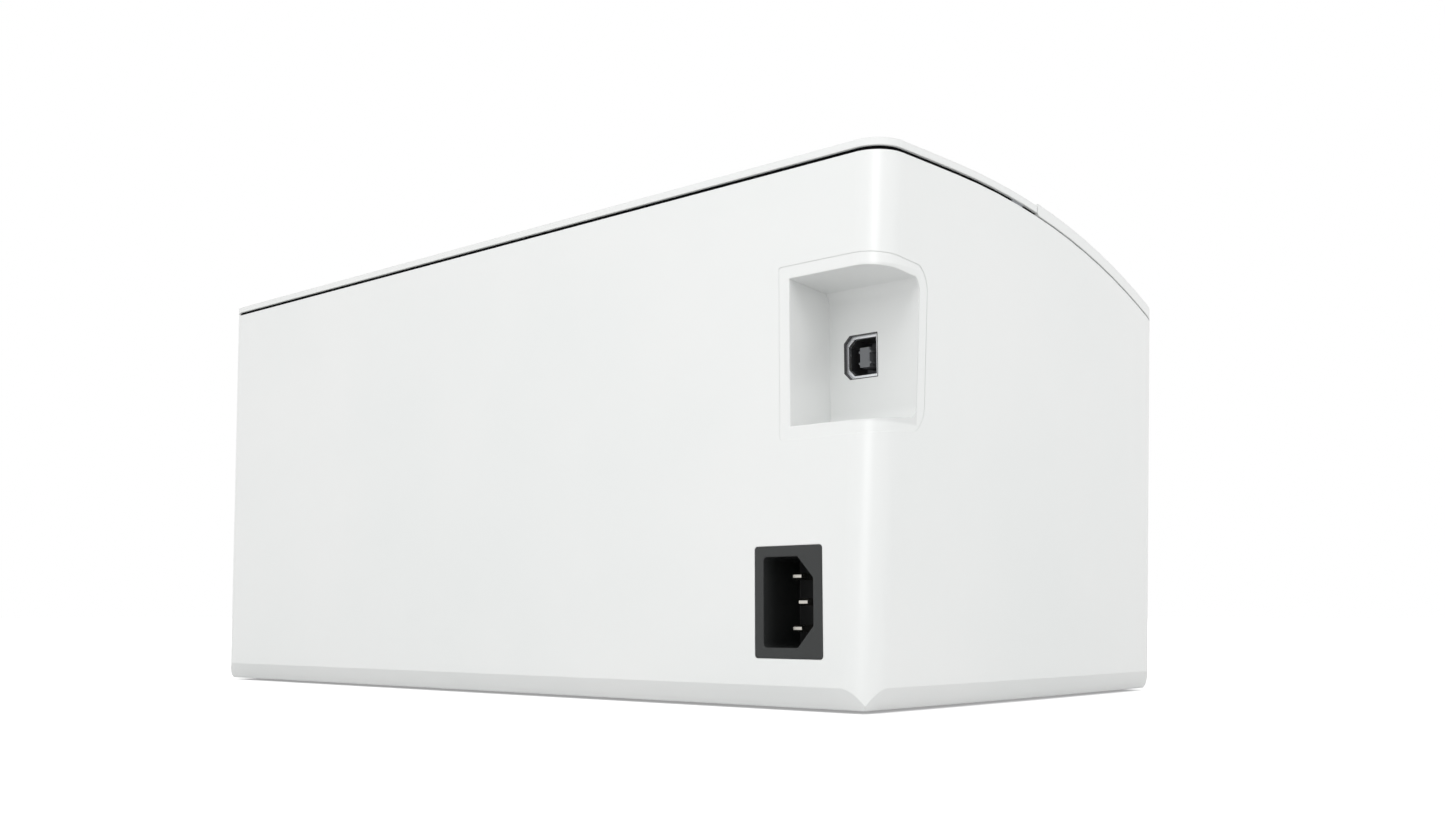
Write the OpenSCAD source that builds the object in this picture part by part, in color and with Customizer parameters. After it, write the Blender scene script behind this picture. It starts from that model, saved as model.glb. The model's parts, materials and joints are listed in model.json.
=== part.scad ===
// Desktop thermal label printer: flared housing, fixed rear top slab, hinged front cover
// with the platen roller, and a print head, gear train and roll holders inside.
// Millimetres, +Z up, front at -Y, origin on the floor under the centre of the body.

/* [Housing] */
// Width across the bowed side walls at floor level
body_w = 317; // [305:1:330]
// Depth from front wall to rear wall
body_d = 168; // [166:1:174]
// Height of the side walls above the bottom edge, at the rear
wall_h = 147.1; // [144:0.1:150]
// Outward lean of the side walls in degrees
flare = 3.1; // [2:0.1:4]
// How far each side wall bows outwards over the depth
bow = 1.5; // [1:0.1:2.5]
// Radius of the upright corners
corner_r = 9; // [7:0.5:12]
// Thickness of the housing walls
wall_t = 2.5; // [2:0.1:3]
// Height of the bevel round the bottom edge
bevel_h = 5.7; // [4:0.1:7]
// Inward reach of the bevel
bevel_in = 3.3; // [2:0.1:4]
// Height of the rubber feet below the bottom edge
foot_h = 0.8; // [0.5:0.1:2]
// Thickness of the base plate
base_t = 1.5; // [1:0.1:1.8]

/* [Top] */
// Length of the flat part of the top, from the rear
top_flat = 35; // [20:1:45]
// Radius of the curve from there to the front
top_r = 380; // [350:5:420]
// Height of the shadow gap under the rear slab
slab_gap = 1.2; // [0.8:0.1:1.6]
// Thickness of the rear slab
slab_t = 2.1; // [1.8:0.1:3]
// Distance of the seam from the rear face
seam_back = 80; // [76:1:84]
// Width of the seam between slab and cover
seam_w = 0.5; // [0.4:0.1:0.8]
// Gap under the edge of the front cover
cover_gap = 0.6; // [0.4:0.1:0.8]
// Height of the front cover's edge
cover_edge = 3.5; // [3:0.1:4.5]
// Thickness of the front cover's skin
cover_skin = 2.4; // [1.8:0.1:2.6]
// Radius of the cover's front top edge
nose_r = 5; // [3:0.5:6]

/* [Corner recess and sockets] */
// Distance of the recess's inner side from the centre plane
recess_x = 133.1; // [130:0.1:136]
// Depth of the recess from the rear face
recess_d = 18.3; // [16:0.1:20]
// Lower edge of the recess at its mouth
recess_z = 75.7; // [70:0.1:80]
// Height of the recess at its mouth
recess_h = 41.1; // [38:0.1:44]
// Slope of the recess's upper and lower faces
recess_draft = 5; // [3:0.5:7]
// Distance of the mains inlet's centre from the centre plane
inlet_x = 132; // [128:0.5:134]
// Height of the mains inlet's centre
inlet_z = 28.6; // [26:0.1:32]
// Distance of the USB socket's centre from the centre plane
usb_x = 143.8; // [143:0.1:145]

/* [Mechanism] */
// Widest label
media_w = 216; // [200:1:216]
// Distance of the print mechanism's centre from the centre plane
mech_x = 6; // [4:0.5:8]
// Radius of the platen roller
platen_r = 8; // [7.5:0.1:8.5]
// Radius of the platen's steel shaft
platen_shaft_r = 4; // [3.5:0.1:5]
// Gap left for the label between platen and head
nip_gap = 0.1; // [0.1:0.05:0.3]
// Teeth on the platen gear
platen_teeth = 20; // [20:1:20]
// Teeth on the idler's small wheel
idler_small_teeth = 16; // [16:1:16]
// Teeth on the idler's large wheel
idler_large_teeth = 36; // [36:1:36]
// Teeth on the motor pinion
pinion_teeth = 14; // [14:1:14]
// Tooth module of the feed gears
gear_module = 1; // [1:0.1:1]
// Radius of the largest label roll that fits
roll_r = 31; // [28:1:32]
// Radius of the hubs that carry the roll's core
hub_r = 12; // [10:0.5:12.5]

/* [Hidden] */
$fn = 64;

clear = 0.15;                       // between fixed pieces that fit inside each other
run_clear = 0.05;                   // radial clearance of a shaft in its bush
fine_fn = 1440;                     // sides of the very large circles
far = 400;                          // reach of cutting solids

hd = body_d / 2;
rim_z = foot_h + wall_h;            // top edge of the walls at the rear
curve_y = hd - top_flat;
bow_r = (hd * hd + bow * bow) / (2 * bow);
bevel_angle = atan(bevel_in / bevel_h);
bevel_z = foot_h + bevel_h;
cover_top = cover_gap + cover_edge;
cover_under = cover_top - cover_skin;
seam_y = hd - seam_back;            // rear edge of the cover
slab_y = seam_y + seam_w;           // front edge of the slab
floor_z = foot_h + base_t + clear / 2; // inner floor: top of the base plate

// Height of the wall's top edge at a place along the depth, raised by lift
function top_z(y, lift = 0) = y >= curve_y ? rim_z + lift
    : rim_z - top_r + sqrt(pow(top_r + lift, 2) - pow(y - curve_y, 2));
// Half width of the body at mid-depth and a height
function half_w(z) = body_w / 2 + z * tan(flare);
// Half width of the body at a place along the depth and a height
function side_x(y, z) = half_w(z) - bow_r + sqrt(bow_r * bow_r - y * y);

// ---- shared construction ----

// Extrudes a (Y, Z) outline from x0 to x1
module along_x(x0, x1) translate([x0, 0, 0]) rotate([90, 0, 90]) linear_extrude(x1 - x0) children();
// Extrudes an (X, Z) outline from y0 to y1
module along_y(y0, y1) translate([0, y1, 0]) rotate([90, 0, 0]) linear_extrude(y1 - y0) children();
// A box between two corners
module block(a, b) translate(a) cube(b - a);
// A round bar along X with its centre at (y, z)
module bar_x(x0, x1, y, z, r) translate([x0, y, z]) rotate([0, 90, 0]) cylinder(r = r, h = x1 - x0);
// Both ends of something, mirrored about the centre plane
module both_ends() {
    children();
    mirror([1, 0, 0]) children();
}
// The same, mirrored about the print mechanism's middle
module both_mech() {
    translate([mech_x, 0, 0]) children();
    translate([mech_x, 0, 0]) mirror([1, 0, 0]) children();
}

function unit(a, b) = (b - a) / norm(b - a);
function fillet_cut(a, p, b, r) = r / tan(acos(unit(p, a) * unit(p, b)) / 2);
function fillet_mid(a, p, b, r) = p + (unit(p, a) + unit(p, b)) / norm(unit(p, a) + unit(p, b))
    * r / sin(acos(unit(p, a) * unit(p, b)) / 2);
// A convex outline whose corners are true arcs; radii holds one radius a corner
module rounded_outline(pts, radii) {
    n = len(pts);
    polygon([for (i = [0 : n - 1])
        let (p = pts[i], a = pts[(i + n - 1) % n], b = pts[(i + 1) % n], r = radii[i])
        each r > 0 ? [p + unit(p, a) * fillet_cut(a, p, b, r), p + unit(p, b) * fillet_cut(a, p, b, r)]
            : [p]]);
    for (i = [0 : n - 1])
        if (radii[i] > 0)
            translate(fillet_mid(pts[(i + n - 1) % n], pts[i], pts[(i + 1) % n], radii[i]))
                circle(radii[i]);
}
module rounded_rect(a, b, r)
    rounded_outline([a, [b[0], a[1]], b, [a[0], b[1]]], [r, r, r, r]);

// Plan of one bowed side wall with its two round corners, open towards +X
module side_plan(x_half, y_half, r, arc_r) {
    yc = y_half - r;
    xw = -x_half + arc_r - sqrt(arc_r * arc_r - yc * yc);
    intersection() {
        translate([arc_r - x_half, 0]) circle(arc_r, $fn = fine_fn);
        translate([-x_half - 1, -yc]) square([2 * far, 2 * yc]);
    }
    translate([xw + r, -y_half]) square([2 * far, 2 * y_half]);
    if (r > 0)
        for (s = [-1, 1])
            translate([xw + r, s * yc]) circle(r);
}
// That wall, leaning outwards by a number of degrees and passing its plan at height z_at
module leaning_side(x_half, y_half, r, arc_r, lean, z_at)
    translate([0, 0, z_at]) rotate([0, -lean, 0]) translate([0, 0, -far])
        linear_extrude(3 * far) side_plan(x_half * cos(lean), y_half, r, arc_r / cos(lean));

// Region under the top edge line, raised by lift, down to z0
module under_top(lift, z0 = 0) {
    translate([curve_y, z0]) square([hd - curve_y + 1, rim_z + lift - z0]);
    intersection() {
        translate([curve_y, rim_z - top_r]) circle(top_r + lift, $fn = fine_fn);
        translate([-hd - 1, z0]) square([curve_y + hd + 1, rim_z + lift - z0 + 1]);
    }
}
// Flared body block, inset from the outer faces, with its top on the raised top line
module body_block(inset, lift, z0 = 0) intersection() {
    leaning_side(body_w / 2 - inset, hd - inset, max(corner_r - inset, 1), bow_r, flare, 0);
    mirror([1, 0, 0])
        leaning_side(body_w / 2 - inset, hd - inset, max(corner_r - inset, 1), bow_r, flare, 0);
    along_x(-far / 2, far / 2) under_top(lift, z0);
}
// Outside of the housing with its bevelled bottom edge
module body_outside() intersection() {
    body_block(0, 0, foot_h);
    both_bevels();
    along_x(-far / 2, far / 2) polygon([[-hd + bevel_in, foot_h], [hd - bevel_in, foot_h],
        [hd, bevel_z], [hd, rim_z + 1], [-hd, rim_z + 1], [-hd, bevel_z]]);
}
module both_bevels() intersection() {
    leaning_side(half_w(bevel_z), hd + 5, 0, bow_r, bevel_angle, bevel_z);
    mirror([1, 0, 0]) leaning_side(half_w(bevel_z), hd + 5, 0, bow_r, bevel_angle, bevel_z);
}

// ---- corner recess and rear sockets ----

recess_in_y = hd - recess_d;
recess_corner_r = 4.5;
recess_skin = 2;                    // thickness of the recess's own walls
rim_band = 3.6;                     // width of the shallow band round the recess
rim_sink = 0.1;                     // depth of that band
recess_rise = recess_d * tan(recess_draft);
usb_z = recess_z + recess_h / 2;

// Space of the recess, grown by a margin on every inner side; edge_r rounds its inner side
module recess_space(grow, edge_r = 0) intersection() {
    // rounded back corners
    along_x(-far / 2, -recess_x + grow + 5) rounded_outline(
        [[recess_in_y - grow, recess_z + recess_rise - grow - 0.1], [hd + 20, recess_z - 8],
         [hd + 20, recess_z + recess_h + 8],
         [recess_in_y - grow, recess_z + recess_h - recess_rise + grow + 0.1]],
        [recess_corner_r + grow, 0, 0, recess_corner_r + grow]);
    union() {
        recess_half(grow, edge_r);
        translate([0, 0, 2 * usb_z]) mirror([0, 0, 1]) recess_half(grow, edge_r);
    }
}
// Its lower half, with a sloping floor
module recess_half(grow, edge_r) translate([0, hd, recess_z]) rotate([-recess_draft, 0, 0])
    along_y(-recess_d - 10, 22) rounded_outline(
        [[-far / 2 + 5, -grow], [-recess_x + grow, -grow], [-recess_x + grow, recess_h / 2 + 1],
         [-far / 2 + 5, recess_h / 2 + 1]], [0, edge_r, 0, 0]);

inlet_flange = [23, 29.8];
inlet_body = [20, 27];
inlet_hole = [17, 24.2];
inlet_cut = [5.3, 5.8];              // cut corners of the hole, along X and Z
inlet_flange_t = 2;
inlet_len = 24;
inlet_hole_d = 16;
inlet_at = [-inlet_x, hd, inlet_z];

// Outline of the inlet's hole, its cut corners towards -X
module inlet_key() {
    w = inlet_hole[0] / 2;
    h = inlet_hole[1] / 2;
    rounded_outline([[w, -h], [w, h], [-w + inlet_cut[0], h], [-w, h - inlet_cut[1]],
        [-w, -h + inlet_cut[1]], [-w + inlet_cut[0], -h]], [1.2, 1.2, 0.5, 0.5, 0.5, 0.5]);
}
module centred_rect(size, r = 1) rounded_rect([-size[0] / 2, -size[1] / 2],
    [size[0] / 2, size[1] / 2], r);

usb_size = [11, 12.04];
usb_len = 16;
usb_bevel = 2;
usb_t = 0.4;
usb_rim = [0.8, 1.2];               // thickness and length of the shell's rolled end
usb_back = 0.9;                     // how far the shell's end lies behind the recess's floor
module usb_outline(grow) {
    w = usb_size[0] / 2 + grow;
    h = usb_size[1] / 2 + grow;
    polygon([[-w, -h], [w - usb_bevel, -h], [w, -h + usb_bevel], [w, h - usb_bevel],
        [w - usb_bevel, h], [-w, h]]);
}

// ---- front: exit opening, buttons ----

exit_half = media_w / 2 + 20;       // half width of the opening in the front wall
exit_z = 104;                       // lower edge of that opening
apron_z = 114.5;                    // lower edge of the cover's front apron
button_x = 145;
feed_z = 104;
power_z = 84;
light_z = 94;
button_r = 5;
button_hole_r = 5.2;
light_r = 1.5;

// ---- cover hinge ----

pivot_y = hd - 68.8;
pivot_z = top_z(hd - 68.8) - 0.9;
hinge_pin_r = 1;
barrel_r = 1.9;
arm_x = [152, 155.5];
arm_t = 3;
arm_drop = 15;                      // how far the goose-neck dips below its pivot
arm_reach = 16;                     // how far it reaches forward
lug_w = 6;
cheek_in = [148.4, 151.8];
cheek_out = [155.7, 159.2];
lug_base_z = 118;

// ---- print mechanism ----

latch_y = -75;                      // latch pins on the cover
latch_z = 103;
latch_r = 1.5;
latch_button_z = 93;
swing_r = 101.2;                    // reach from the hinge that clears the label exit
media_half = media_w / 2;
platen_y = -70;
platen_z = 118;
journal_r = 3;
ear_x = media_half + 2.5;           // inner face of the cover's two ears, from the mechanism's middle
ear_t = 3;
bay_x = media_half + 7;             // inner face of the roll bay's ends
bay_t = 2;
frame_x = bay_x + bay_t + 0.5;      // inner face of the steel side frames
frame_t = 1.5;
gear_x = mech_x + frame_x + frame_t + 1.5; // start of the first gear plane
gear_w = 2.8;
gear2_x = gear_x + gear_w + 0.7;    // start of the second gear plane
mesh_play = 0.15;
platen_gear_r = gear_module * platen_teeth / 2;
idler_small_r = gear_module * idler_small_teeth / 2;
idler_large_r = gear_module * idler_large_teeth / 2;
pinion_r = gear_module * pinion_teeth / 2;
idler_angle = -60;
idler_dist = platen_gear_r + idler_small_r + mesh_play;
idler_y = platen_y + idler_dist * cos(idler_angle);
idler_z = platen_z + idler_dist * sin(idler_angle);
motor_angle = -53;
motor_dist = idler_large_r + pinion_r + mesh_play;
motor_y = idler_y + motor_dist * cos(motor_angle);
motor_z = idler_z + motor_dist * sin(motor_angle);
post_r = 2.5;
motor_shaft_r = 2.5;
motor_plate_x = gear2_x + gear_w + 1.3;
motor_size = 35;
motor_len = 22;
head_y = [-78, -64.5];
head_z0 = 98;
plate_t = 1.4;
head_top = platen_z - platen_r - nip_gap;
head_pivot_y = -56;
head_pivot_z = 95;
head_shaft_r = 2.5;
frame_y = [-78.3, -38];
frame_top = 110;

// ---- roll bay and holders ----

bay_y = -28.5;
bay_z = 68;
bay_r = roll_r + 2.5;
bay_front_top = 88;
channel = [16.5, floor_z + 24];     // half width and floor of the channel under the roll
rail_y = [-33, -24];
rail_z = [floor_z + 25, floor_z + 28.6];
rack_z = [rail_z[1] + 0.4, rail_z[1] + 4];
holder_pinion_teeth = 12;
holder_module = 1.5;
holder_pinion_r = holder_pinion_teeth * holder_module / 2;
holder_travel = 75;
holder_x = media_half - 2;          // inner face of a holder's cheek, from the middle
holder_t = 2.5;
stub_r = 3;
rack_w = 3;

// ---- involute teeth ----

pressure = 20;
function inv(a) = tan(a) * 180 / PI - a;
// Half angle of a tooth at radius r, for a wheel of n teeth and module m
function tooth_half(n, m, r, play) =
    90 / n - play / (n * m) * 180 / PI + inv(pressure)
    - inv(acos(min(1, n * m / 2 * cos(pressure) / r)));
module gear_outline(n, m, add = 1, play = 0.1) {
    rp = n * m / 2;
    rb = rp * cos(pressure);
    root = rp - 1.25 * m;
    low = max(rb, root + 0.05);
    tip = rp + add * m;
    steps = 4;
    radii = [for (i = [0 : steps]) low + (tip - low) * i / steps];
    polygon([for (t = [0 : n - 1])
        let (mid = 360 * t / n)
        each concat(
            [root * [cos(mid - tooth_half(n, m, low, play)), sin(mid - tooth_half(n, m, low, play))]],
            [for (i = [0 : steps])
                let (a = mid - tooth_half(n, m, radii[i], play)) radii[i] * [cos(a), sin(a)]],
            [for (i = [steps : -1 : 0])
                let (a = mid + tooth_half(n, m, radii[i], play)) radii[i] * [cos(a), sin(a)]],
            [root * [cos(mid + tooth_half(n, m, low, play)), sin(mid + tooth_half(n, m, low, play))]])]);
}
// A gear on the X axis at (y, z); turn puts a tooth at that angle in the (Y, Z) plane
module gear_x_axis(x0, x1, y, z, n, m, turn, bore, add = 1) translate([0, y, z])
    along_x(x0, x1) difference() {
        rotate(turn) gear_outline(n, m, add);
        circle(bore);
    }

// ======== casing ========

ledge_top = foot_h + 4.2;
boss_r = 4;
boss_at = [[140, 70], [140, -70]];
module main_housing() color([0.93, 0.935, 0.935]) difference() {
    union() {
        difference() {
            body_outside();
            body_block(wall_t, 20, ledge_top);
            linear_extrude(far) base_outline(12);
            linear_extrude(foot_h + base_t + clear) base_outline(5);
        }
        intersection() {
            body_block(0.4, 0, foot_h);
            recess_space(recess_skin, recess_skin);
        }
        // frame behind the mains inlet
        translate([-inlet_x, 0, inlet_z]) along_y(hd - 6, hd - wall_t / 2)
            centred_rect(inlet_flange + [5, 5], 2);
        // posts for the main board, from the left wall
        intersection() {
            body_block(1, 0, foot_h);
            for (y = [board_y[0] + 8, -10, board_y[1] - 12], z = [22, 108])
                bar_x(-far / 2, board_face - board_t, y, z, 3);
        }
        // posts for the button board
        for (s = [-1, 1])
            translate([button_x + 6 * s, 0, light_z]) along_y(-hd + wall_t - 0.5, button_board_y)
                circle(2.2);
        // screw bosses on the bottom ledge
        for (p = boss_at, s = [-1, 1])
            translate([s * p[0], p[1], foot_h + base_t + clear]) cylinder(r = boss_r, h = 12);
    }
    recess_space(0);
    intersection() {
        recess_space(rim_band, 0.8);
        difference() {
            body_block(-1, 5);
            body_block(rim_sink, 6);
        }
    }
    // USB opening in the recess's floor
    translate([-usb_x, 0, usb_z]) along_y(recess_in_y - 5, recess_in_y + 1) usb_outline(clear);
    // seat and hole of the mains inlet
    translate([-inlet_x, 0, inlet_z]) {
        along_y(hd - inlet_flange_t, hd + 1) centred_rect(inlet_flange + [0.2, 0.2], 1);
        along_y(hd - 8, hd) centred_rect(inlet_body + [0.3, 0.3], 0.5);
    }
    // opening for the labels and the cover's apron
    block([mech_x - exit_half, -hd - 1, exit_z], [mech_x + exit_half, -hd + wall_t + 2, far]);
    for (z = [feed_z, power_z])
        translate([button_x, -hd - 1, z]) rotate([-90, 0, 0]) cylinder(r = button_hole_r, h = 8);
    translate([button_x, -hd - 1, light_z]) rotate([-90, 0, 0])
        cylinder(r = light_r + run_clear, h = 8);
    translate([latch_button_x, 0, latch_button_z]) along_y(-hd - 1, -hd + wall_t + 1)
        centred_rect(latch_button_size + [0.4, 0.4], 1.7);
    for (p = boss_at, s = [-1, 1])
        translate([s * p[0], p[1], 0]) cylinder(r = 1.25, h = 12);
}
// Straight-sided outline inset from the bottom edge line
module base_outline(inset) rounded_rect([-body_w / 2 + inset, -hd + inset],
    [body_w / 2 - inset, hd - inset], 6);

module base_plate() color([0.7, 0.71, 0.72]) difference() {
    translate([0, 0, foot_h]) linear_extrude(base_t) difference() {
        base_outline(5 + clear);
        for (p = boss_at, s = [-1, 1])
            translate([s * p[0], p[1]]) circle(1.7);
        // louvres that let cool air in under the power board
        for (i = [0 : 11])
            translate([-70 + 12 * i, 45]) rounded_rect([-2, -14], [2, 14], 1.9);
    }
}

foot_at = [[128, 60], [128, -60]];
foot_r = 9;
module rubber_feet() color([0.13, 0.13, 0.13])
    for (p = foot_at, s = [-1, 1])
        translate([s * p[0], p[1], 0]) cylinder(r = foot_r, h = foot_h);

module base_screws() color([0.75, 0.75, 0.76])
    for (p = boss_at, s = [-1, 1])
        translate([s * p[0], p[1], 0]) {
            translate([0, 0, foot_h - 0.6]) cylinder(r = 2.8, h = 0.6);
            translate([0, 0, foot_h]) cylinder(r = 1.2, h = 9);
        }

module top_slab() color([0.94, 0.945, 0.945]) intersection() {
    body_block(0, slab_gap + slab_t);
    along_x(-far / 2, far / 2) difference() {
        under_top(slab_gap + slab_t);
        under_top(slab_gap, -1);
        translate([-far, -1]) square([far + slab_y, far]);
    }
}

frame_inset = 0.8;
opening_x = 148;
opening_y = [-76, 3];
module chassis_frame() color([0.07, 0.07, 0.075]) difference() {
    union() {
        intersection() {
            body_block(frame_inset, 10);
            along_x(-far / 2, far / 2) difference() {
                under_top(slab_gap - 0.05);
                under_top(0, -1);
                translate([-far, -1]) square([far + slab_y, far]);
            }
        }
        intersection() {
            body_block(frame_inset, 10);
            along_x(-far / 2, far / 2) difference() {
                under_top(cover_gap - 0.15);
                under_top(0, -1);
                translate([slab_y, -1]) square([far, far]);
            }
        }
        // deeper plate between the walls
        intersection() {
            body_block(wall_t + clear, 10);
            along_x(-far / 2, far / 2) difference() {
                under_top(cover_gap - 0.15);
                under_top(-1.5, -1);
            }
        }
        // stiffening wall behind the opening, down into the body
        intersection() {
            along_x(-opening_x, opening_x) under_top(0, 132);
            block([-opening_x, opening_y[1] + 5, 132], [opening_x, opening_y[1] + 7, far]);
        }
    }
    block([-opening_x, opening_y[0], 0], [opening_x, opening_y[1], far]);
    both_ends() {
        // way through for the cover's goose-neck arms and their cheeks
        block([cheek_in[0] - 0.4, pivot_y - 24, 0], [arm_x[1] + 0.4, pivot_y + 4.5, far]);
        block([cheek_in[0] - 0.4, pivot_y - lug_w / 2 - 0.3, 0],
            [cheek_out[1] + 0.3, pivot_y + lug_w / 2 + 0.3, far]);
        // further out only above the walls' top edge, where the bracket's tab lies
        along_x(cheek_out[1], far) difference() {
            square_at([pivot_y - lug_w / 2 - 0.3, 0], [pivot_y + lug_w / 2 + 0.3, far]);
            under_top(-0.1, -1);
        }
    }
    // front edge stays open over the label exit
    block([mech_x - exit_half, -far, 0], [mech_x + exit_half, opening_y[0] + 1, far]);
}

// Cross-section of the front cover at its side edges, with the round nose
module cover_section(lift_low, lift_high, y0, y1) {
    nose = [y0 + nose_r, rim_z - top_r + sqrt(pow(top_r + lift_high - nose_r, 2)
        - pow(y0 + nose_r - curve_y, 2))];
    slope = unit([curve_y, rim_z - top_r], nose);
    difference() {
        under_top(lift_high, 60);
        under_top(lift_low, 59);
        translate([y1, 0]) square([far, far]);
        translate([y0 - far, 0]) square([far, far]);
        difference() {
            polygon([nose, nose + [-3 * nose_r, 0], nose + [-3 * nose_r, 4 * nose_r],
                nose + slope * 4 * nose_r]);
            translate(nose) circle(nose_r);
        }
    }
}
apron_t = 2.2;
module front_cover() color([0.94, 0.945, 0.945]) difference() {
    union() {
        intersection() {
            body_block(0, 20);
            along_x(-far / 2, far / 2) cover_section(cover_gap, cover_top, -hd, seam_y);
        }
        // apron over the label exit
        block([mech_x - exit_half + 0.4, -hd, apron_z],
            [mech_x + exit_half - 0.4, -hd + apron_t, top_z(-hd, cover_gap + 1)]);
    }
    difference() {
        intersection() {
            body_block(wall_t, 20);
            along_x(-far / 2, far / 2) under_top(cover_under, 60);
        }
        block([-far, -far, 0], [far, -hd + apron_t, far]);
        block([-far, seam_y - 1.5, 0], [far, far, far]);
    }
    // relief along the lower rear edge, so that it swings clear of the slab
    along_x(-far / 2, far / 2) translate([seam_y, top_z(seam_y, cover_gap)])
        polygon([[-0.9, -0.4], [0.5, -0.4], [0.5, 1.1]]);
}

exit_wall = exit_half - 0.3;
module front_bezel() color([0.1, 0.1, 0.105]) difference() {
    union() {
        block([mech_x - exit_wall, -hd + 0.3, exit_z], [mech_x + exit_wall, -hd + 3.8, exit_z + 3.4]);
        block([mech_x - exit_wall + 6, -hd + wall_t, exit_z - 6],
            [mech_x + exit_wall - 6, -hd + 3.8, exit_z]);
    }
    // sloping lip that guides the label out
    along_x(mech_x - media_half - 2, mech_x + media_half + 2)
        polygon([[-hd + 1.6, exit_z + 4], [-hd + 6, exit_z + 4], [-hd + 6, exit_z + 1.6]]);
}
tear_pitch = 2;
tear_t = 0.6;
tear_top = 109.6;
module tear_bar() color([0.78, 0.79, 0.8]) {
    n = floor(media_w / tear_pitch);
    along_y(-hd + 0.7, -hd + 0.7 + tear_t)
        polygon(concat([[mech_x - media_half, exit_z + 3.4]],
            [for (i = [0 : n - 1]) each
                [[mech_x - media_half + i * tear_pitch, tear_top - 1.2],
                 [mech_x - media_half + (i + 0.5) * tear_pitch, tear_top]]],
            [[mech_x + media_half, tear_top - 1.2], [mech_x + media_half, exit_z + 3.4]]));
}

button_board_y = -hd + 9;
module status_light() color([0.85, 0.9, 0.88]) translate([button_x, -hd, light_z]) rotate([-90, 0, 0])
    cylinder(r = light_r, h = 8.9);
module button_cap(z) translate([button_x, -hd, z]) rotate([-90, 0, 0]) {
    translate([0, 0, 0.3]) cylinder(r = button_r, h = 3.7);
    translate([0, 0, wall_t + 0.2]) cylinder(r = button_r + 1.3, h = 1.4);
    translate([0, 0, 1]) cylinder(r = 1.6, h = 4.8);
}
module feed_button() color([0.3, 0.31, 0.32]) button_cap(feed_z);
module power_button() color([0.3, 0.31, 0.32]) button_cap(power_z);
module button_board() color([0.1, 0.35, 0.2]) {
    block([button_x - 8, button_board_y, power_z - 9], [button_x + 8, button_board_y + 1.6, feed_z + 9]);
    for (z = [feed_z, power_z])
        block([button_x - 3, button_board_y - 2, z - 3], [button_x + 3, button_board_y, z + 3]);
}

// ======== sockets and electronics ========

module power_inlet_body() color([0.27, 0.27, 0.28]) translate([-inlet_x, 0, inlet_z]) difference() {
    union() {
        along_y(hd - inlet_flange_t, hd) centred_rect(inlet_flange, 0.9);
        along_y(hd - inlet_len, hd - inlet_flange_t) centred_rect(inlet_body, 1);
    }
    along_y(hd - inlet_hole_d, hd + 1) inlet_key();
    // slots of the three blades
    for (p = blade_at)
        translate([p[0], 0, p[1]]) along_y(hd - inlet_len - 1, hd - inlet_hole_d + 1)
            square([blade[0], blade[1]], center = true);
}
blade = [4, 2];
blade_at = [[2, 7, 6.5], [2, -7, 6.5], [-2, 0, 4]]; // x, z and depth of the tip
tip_len = 1.5;
tip = [2.9, 0.8];
// Outline of a blade along Y, w wide, ending in a tip t wide
module blade_outline(w, t, y0, y1)
    polygon([[y0, -w / 2], [y1 - tip_len, -w / 2], [y1, -t / 2], [y1, t / 2], [y1 - tip_len, w / 2],
        [y0, w / 2]]);
module power_inlet_pins() color([0.85, 0.85, 0.84]) translate([-inlet_x, 0, inlet_z])
    for (p = blade_at)
        translate([p[0], 0, p[1]]) intersection() {
            along_x(-3, 3) blade_outline(blade[1], tip[1], hd - inlet_len - 6, hd - p[2]);
            translate([0, 0, -3]) linear_extrude(6) rotate(90) mirror([0, 1])
                blade_outline(blade[0], tip[0], hd - inlet_len - 6, hd - p[2]);
        }

module usb_shell() color([0.8, 0.81, 0.82]) translate([-usb_x, 0, usb_z]) difference() {
    along_y(recess_in_y - usb_back - usb_len, recess_in_y - usb_back) usb_outline(0);
    along_y(recess_in_y - usb_back - usb_len + usb_t, recess_in_y - usb_back - usb_rim[1])
        usb_outline(-usb_t);
    along_y(recess_in_y - usb_back - usb_rim[1] - 1, recess_in_y) usb_outline(-usb_rim[0]);
}
tongue = [3.2, 5.6];
module usb_tongue() color([0.45, 0.46, 0.47]) translate([-usb_x, 0, usb_z]) {
    along_y(recess_in_y - usb_back - usb_len + usb_t, recess_in_y - usb_back - 1)
        square([tongue[0], tongue[1]], center = true);
    along_y(recess_in_y - usb_back - usb_len + usb_t, recess_in_y - 10) usb_outline(-usb_t);
}
module usb_contacts() color([0.85, 0.7, 0.35]) translate([-usb_x, 0, usb_z])
    for (s = [-1, 1], t = [-1, 1])
        translate([s * (tongue[0] / 2 + 0.15), 0, t * 1.3])
            along_y(recess_in_y - 10, recess_in_y - 6) square([0.3, 1], center = true);

board_t = 1.6;
board_face = -usb_x - usb_size[0] / 2;  // face that the USB socket stands on
board_y = [-73, recess_in_y - 8];
board_z = [ledge_top, 116];
module main_board() color([0.08, 0.33, 0.2])
    along_x(board_face - board_t, board_face)
        rounded_rect([board_y[0], board_z[0]], [board_y[1], board_z[1]], 2);
module board_parts() color([0.12, 0.12, 0.13]) translate([board_face, 0, 0]) {
    block([0, 4, 60], [1.6, 22, 78]);
    block([0, -24, 62], [1.4, -12, 72]);
    block([0, -24, 44], [1.4, -12, 54]);
    block([0, -71, 78], [6, -63, 92]);
    block([0, -30, 22], [8, -8, 30]);
    block([0, 30, 40], [8, 48, 48]);
    for (y = [2, 14, 26])
        translate([0, y, 100]) rotate([0, 90, 0]) cylinder(r = 4, h = 11);
    for (i = [0 : 5])
        block([0, -6 + 6 * i, 52], [0.8, -3 + 6 * i, 53.6]);
}
power_z0 = floor_z + 8;
power_x = [-112, 10];
power_y = [16, 73];
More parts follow.
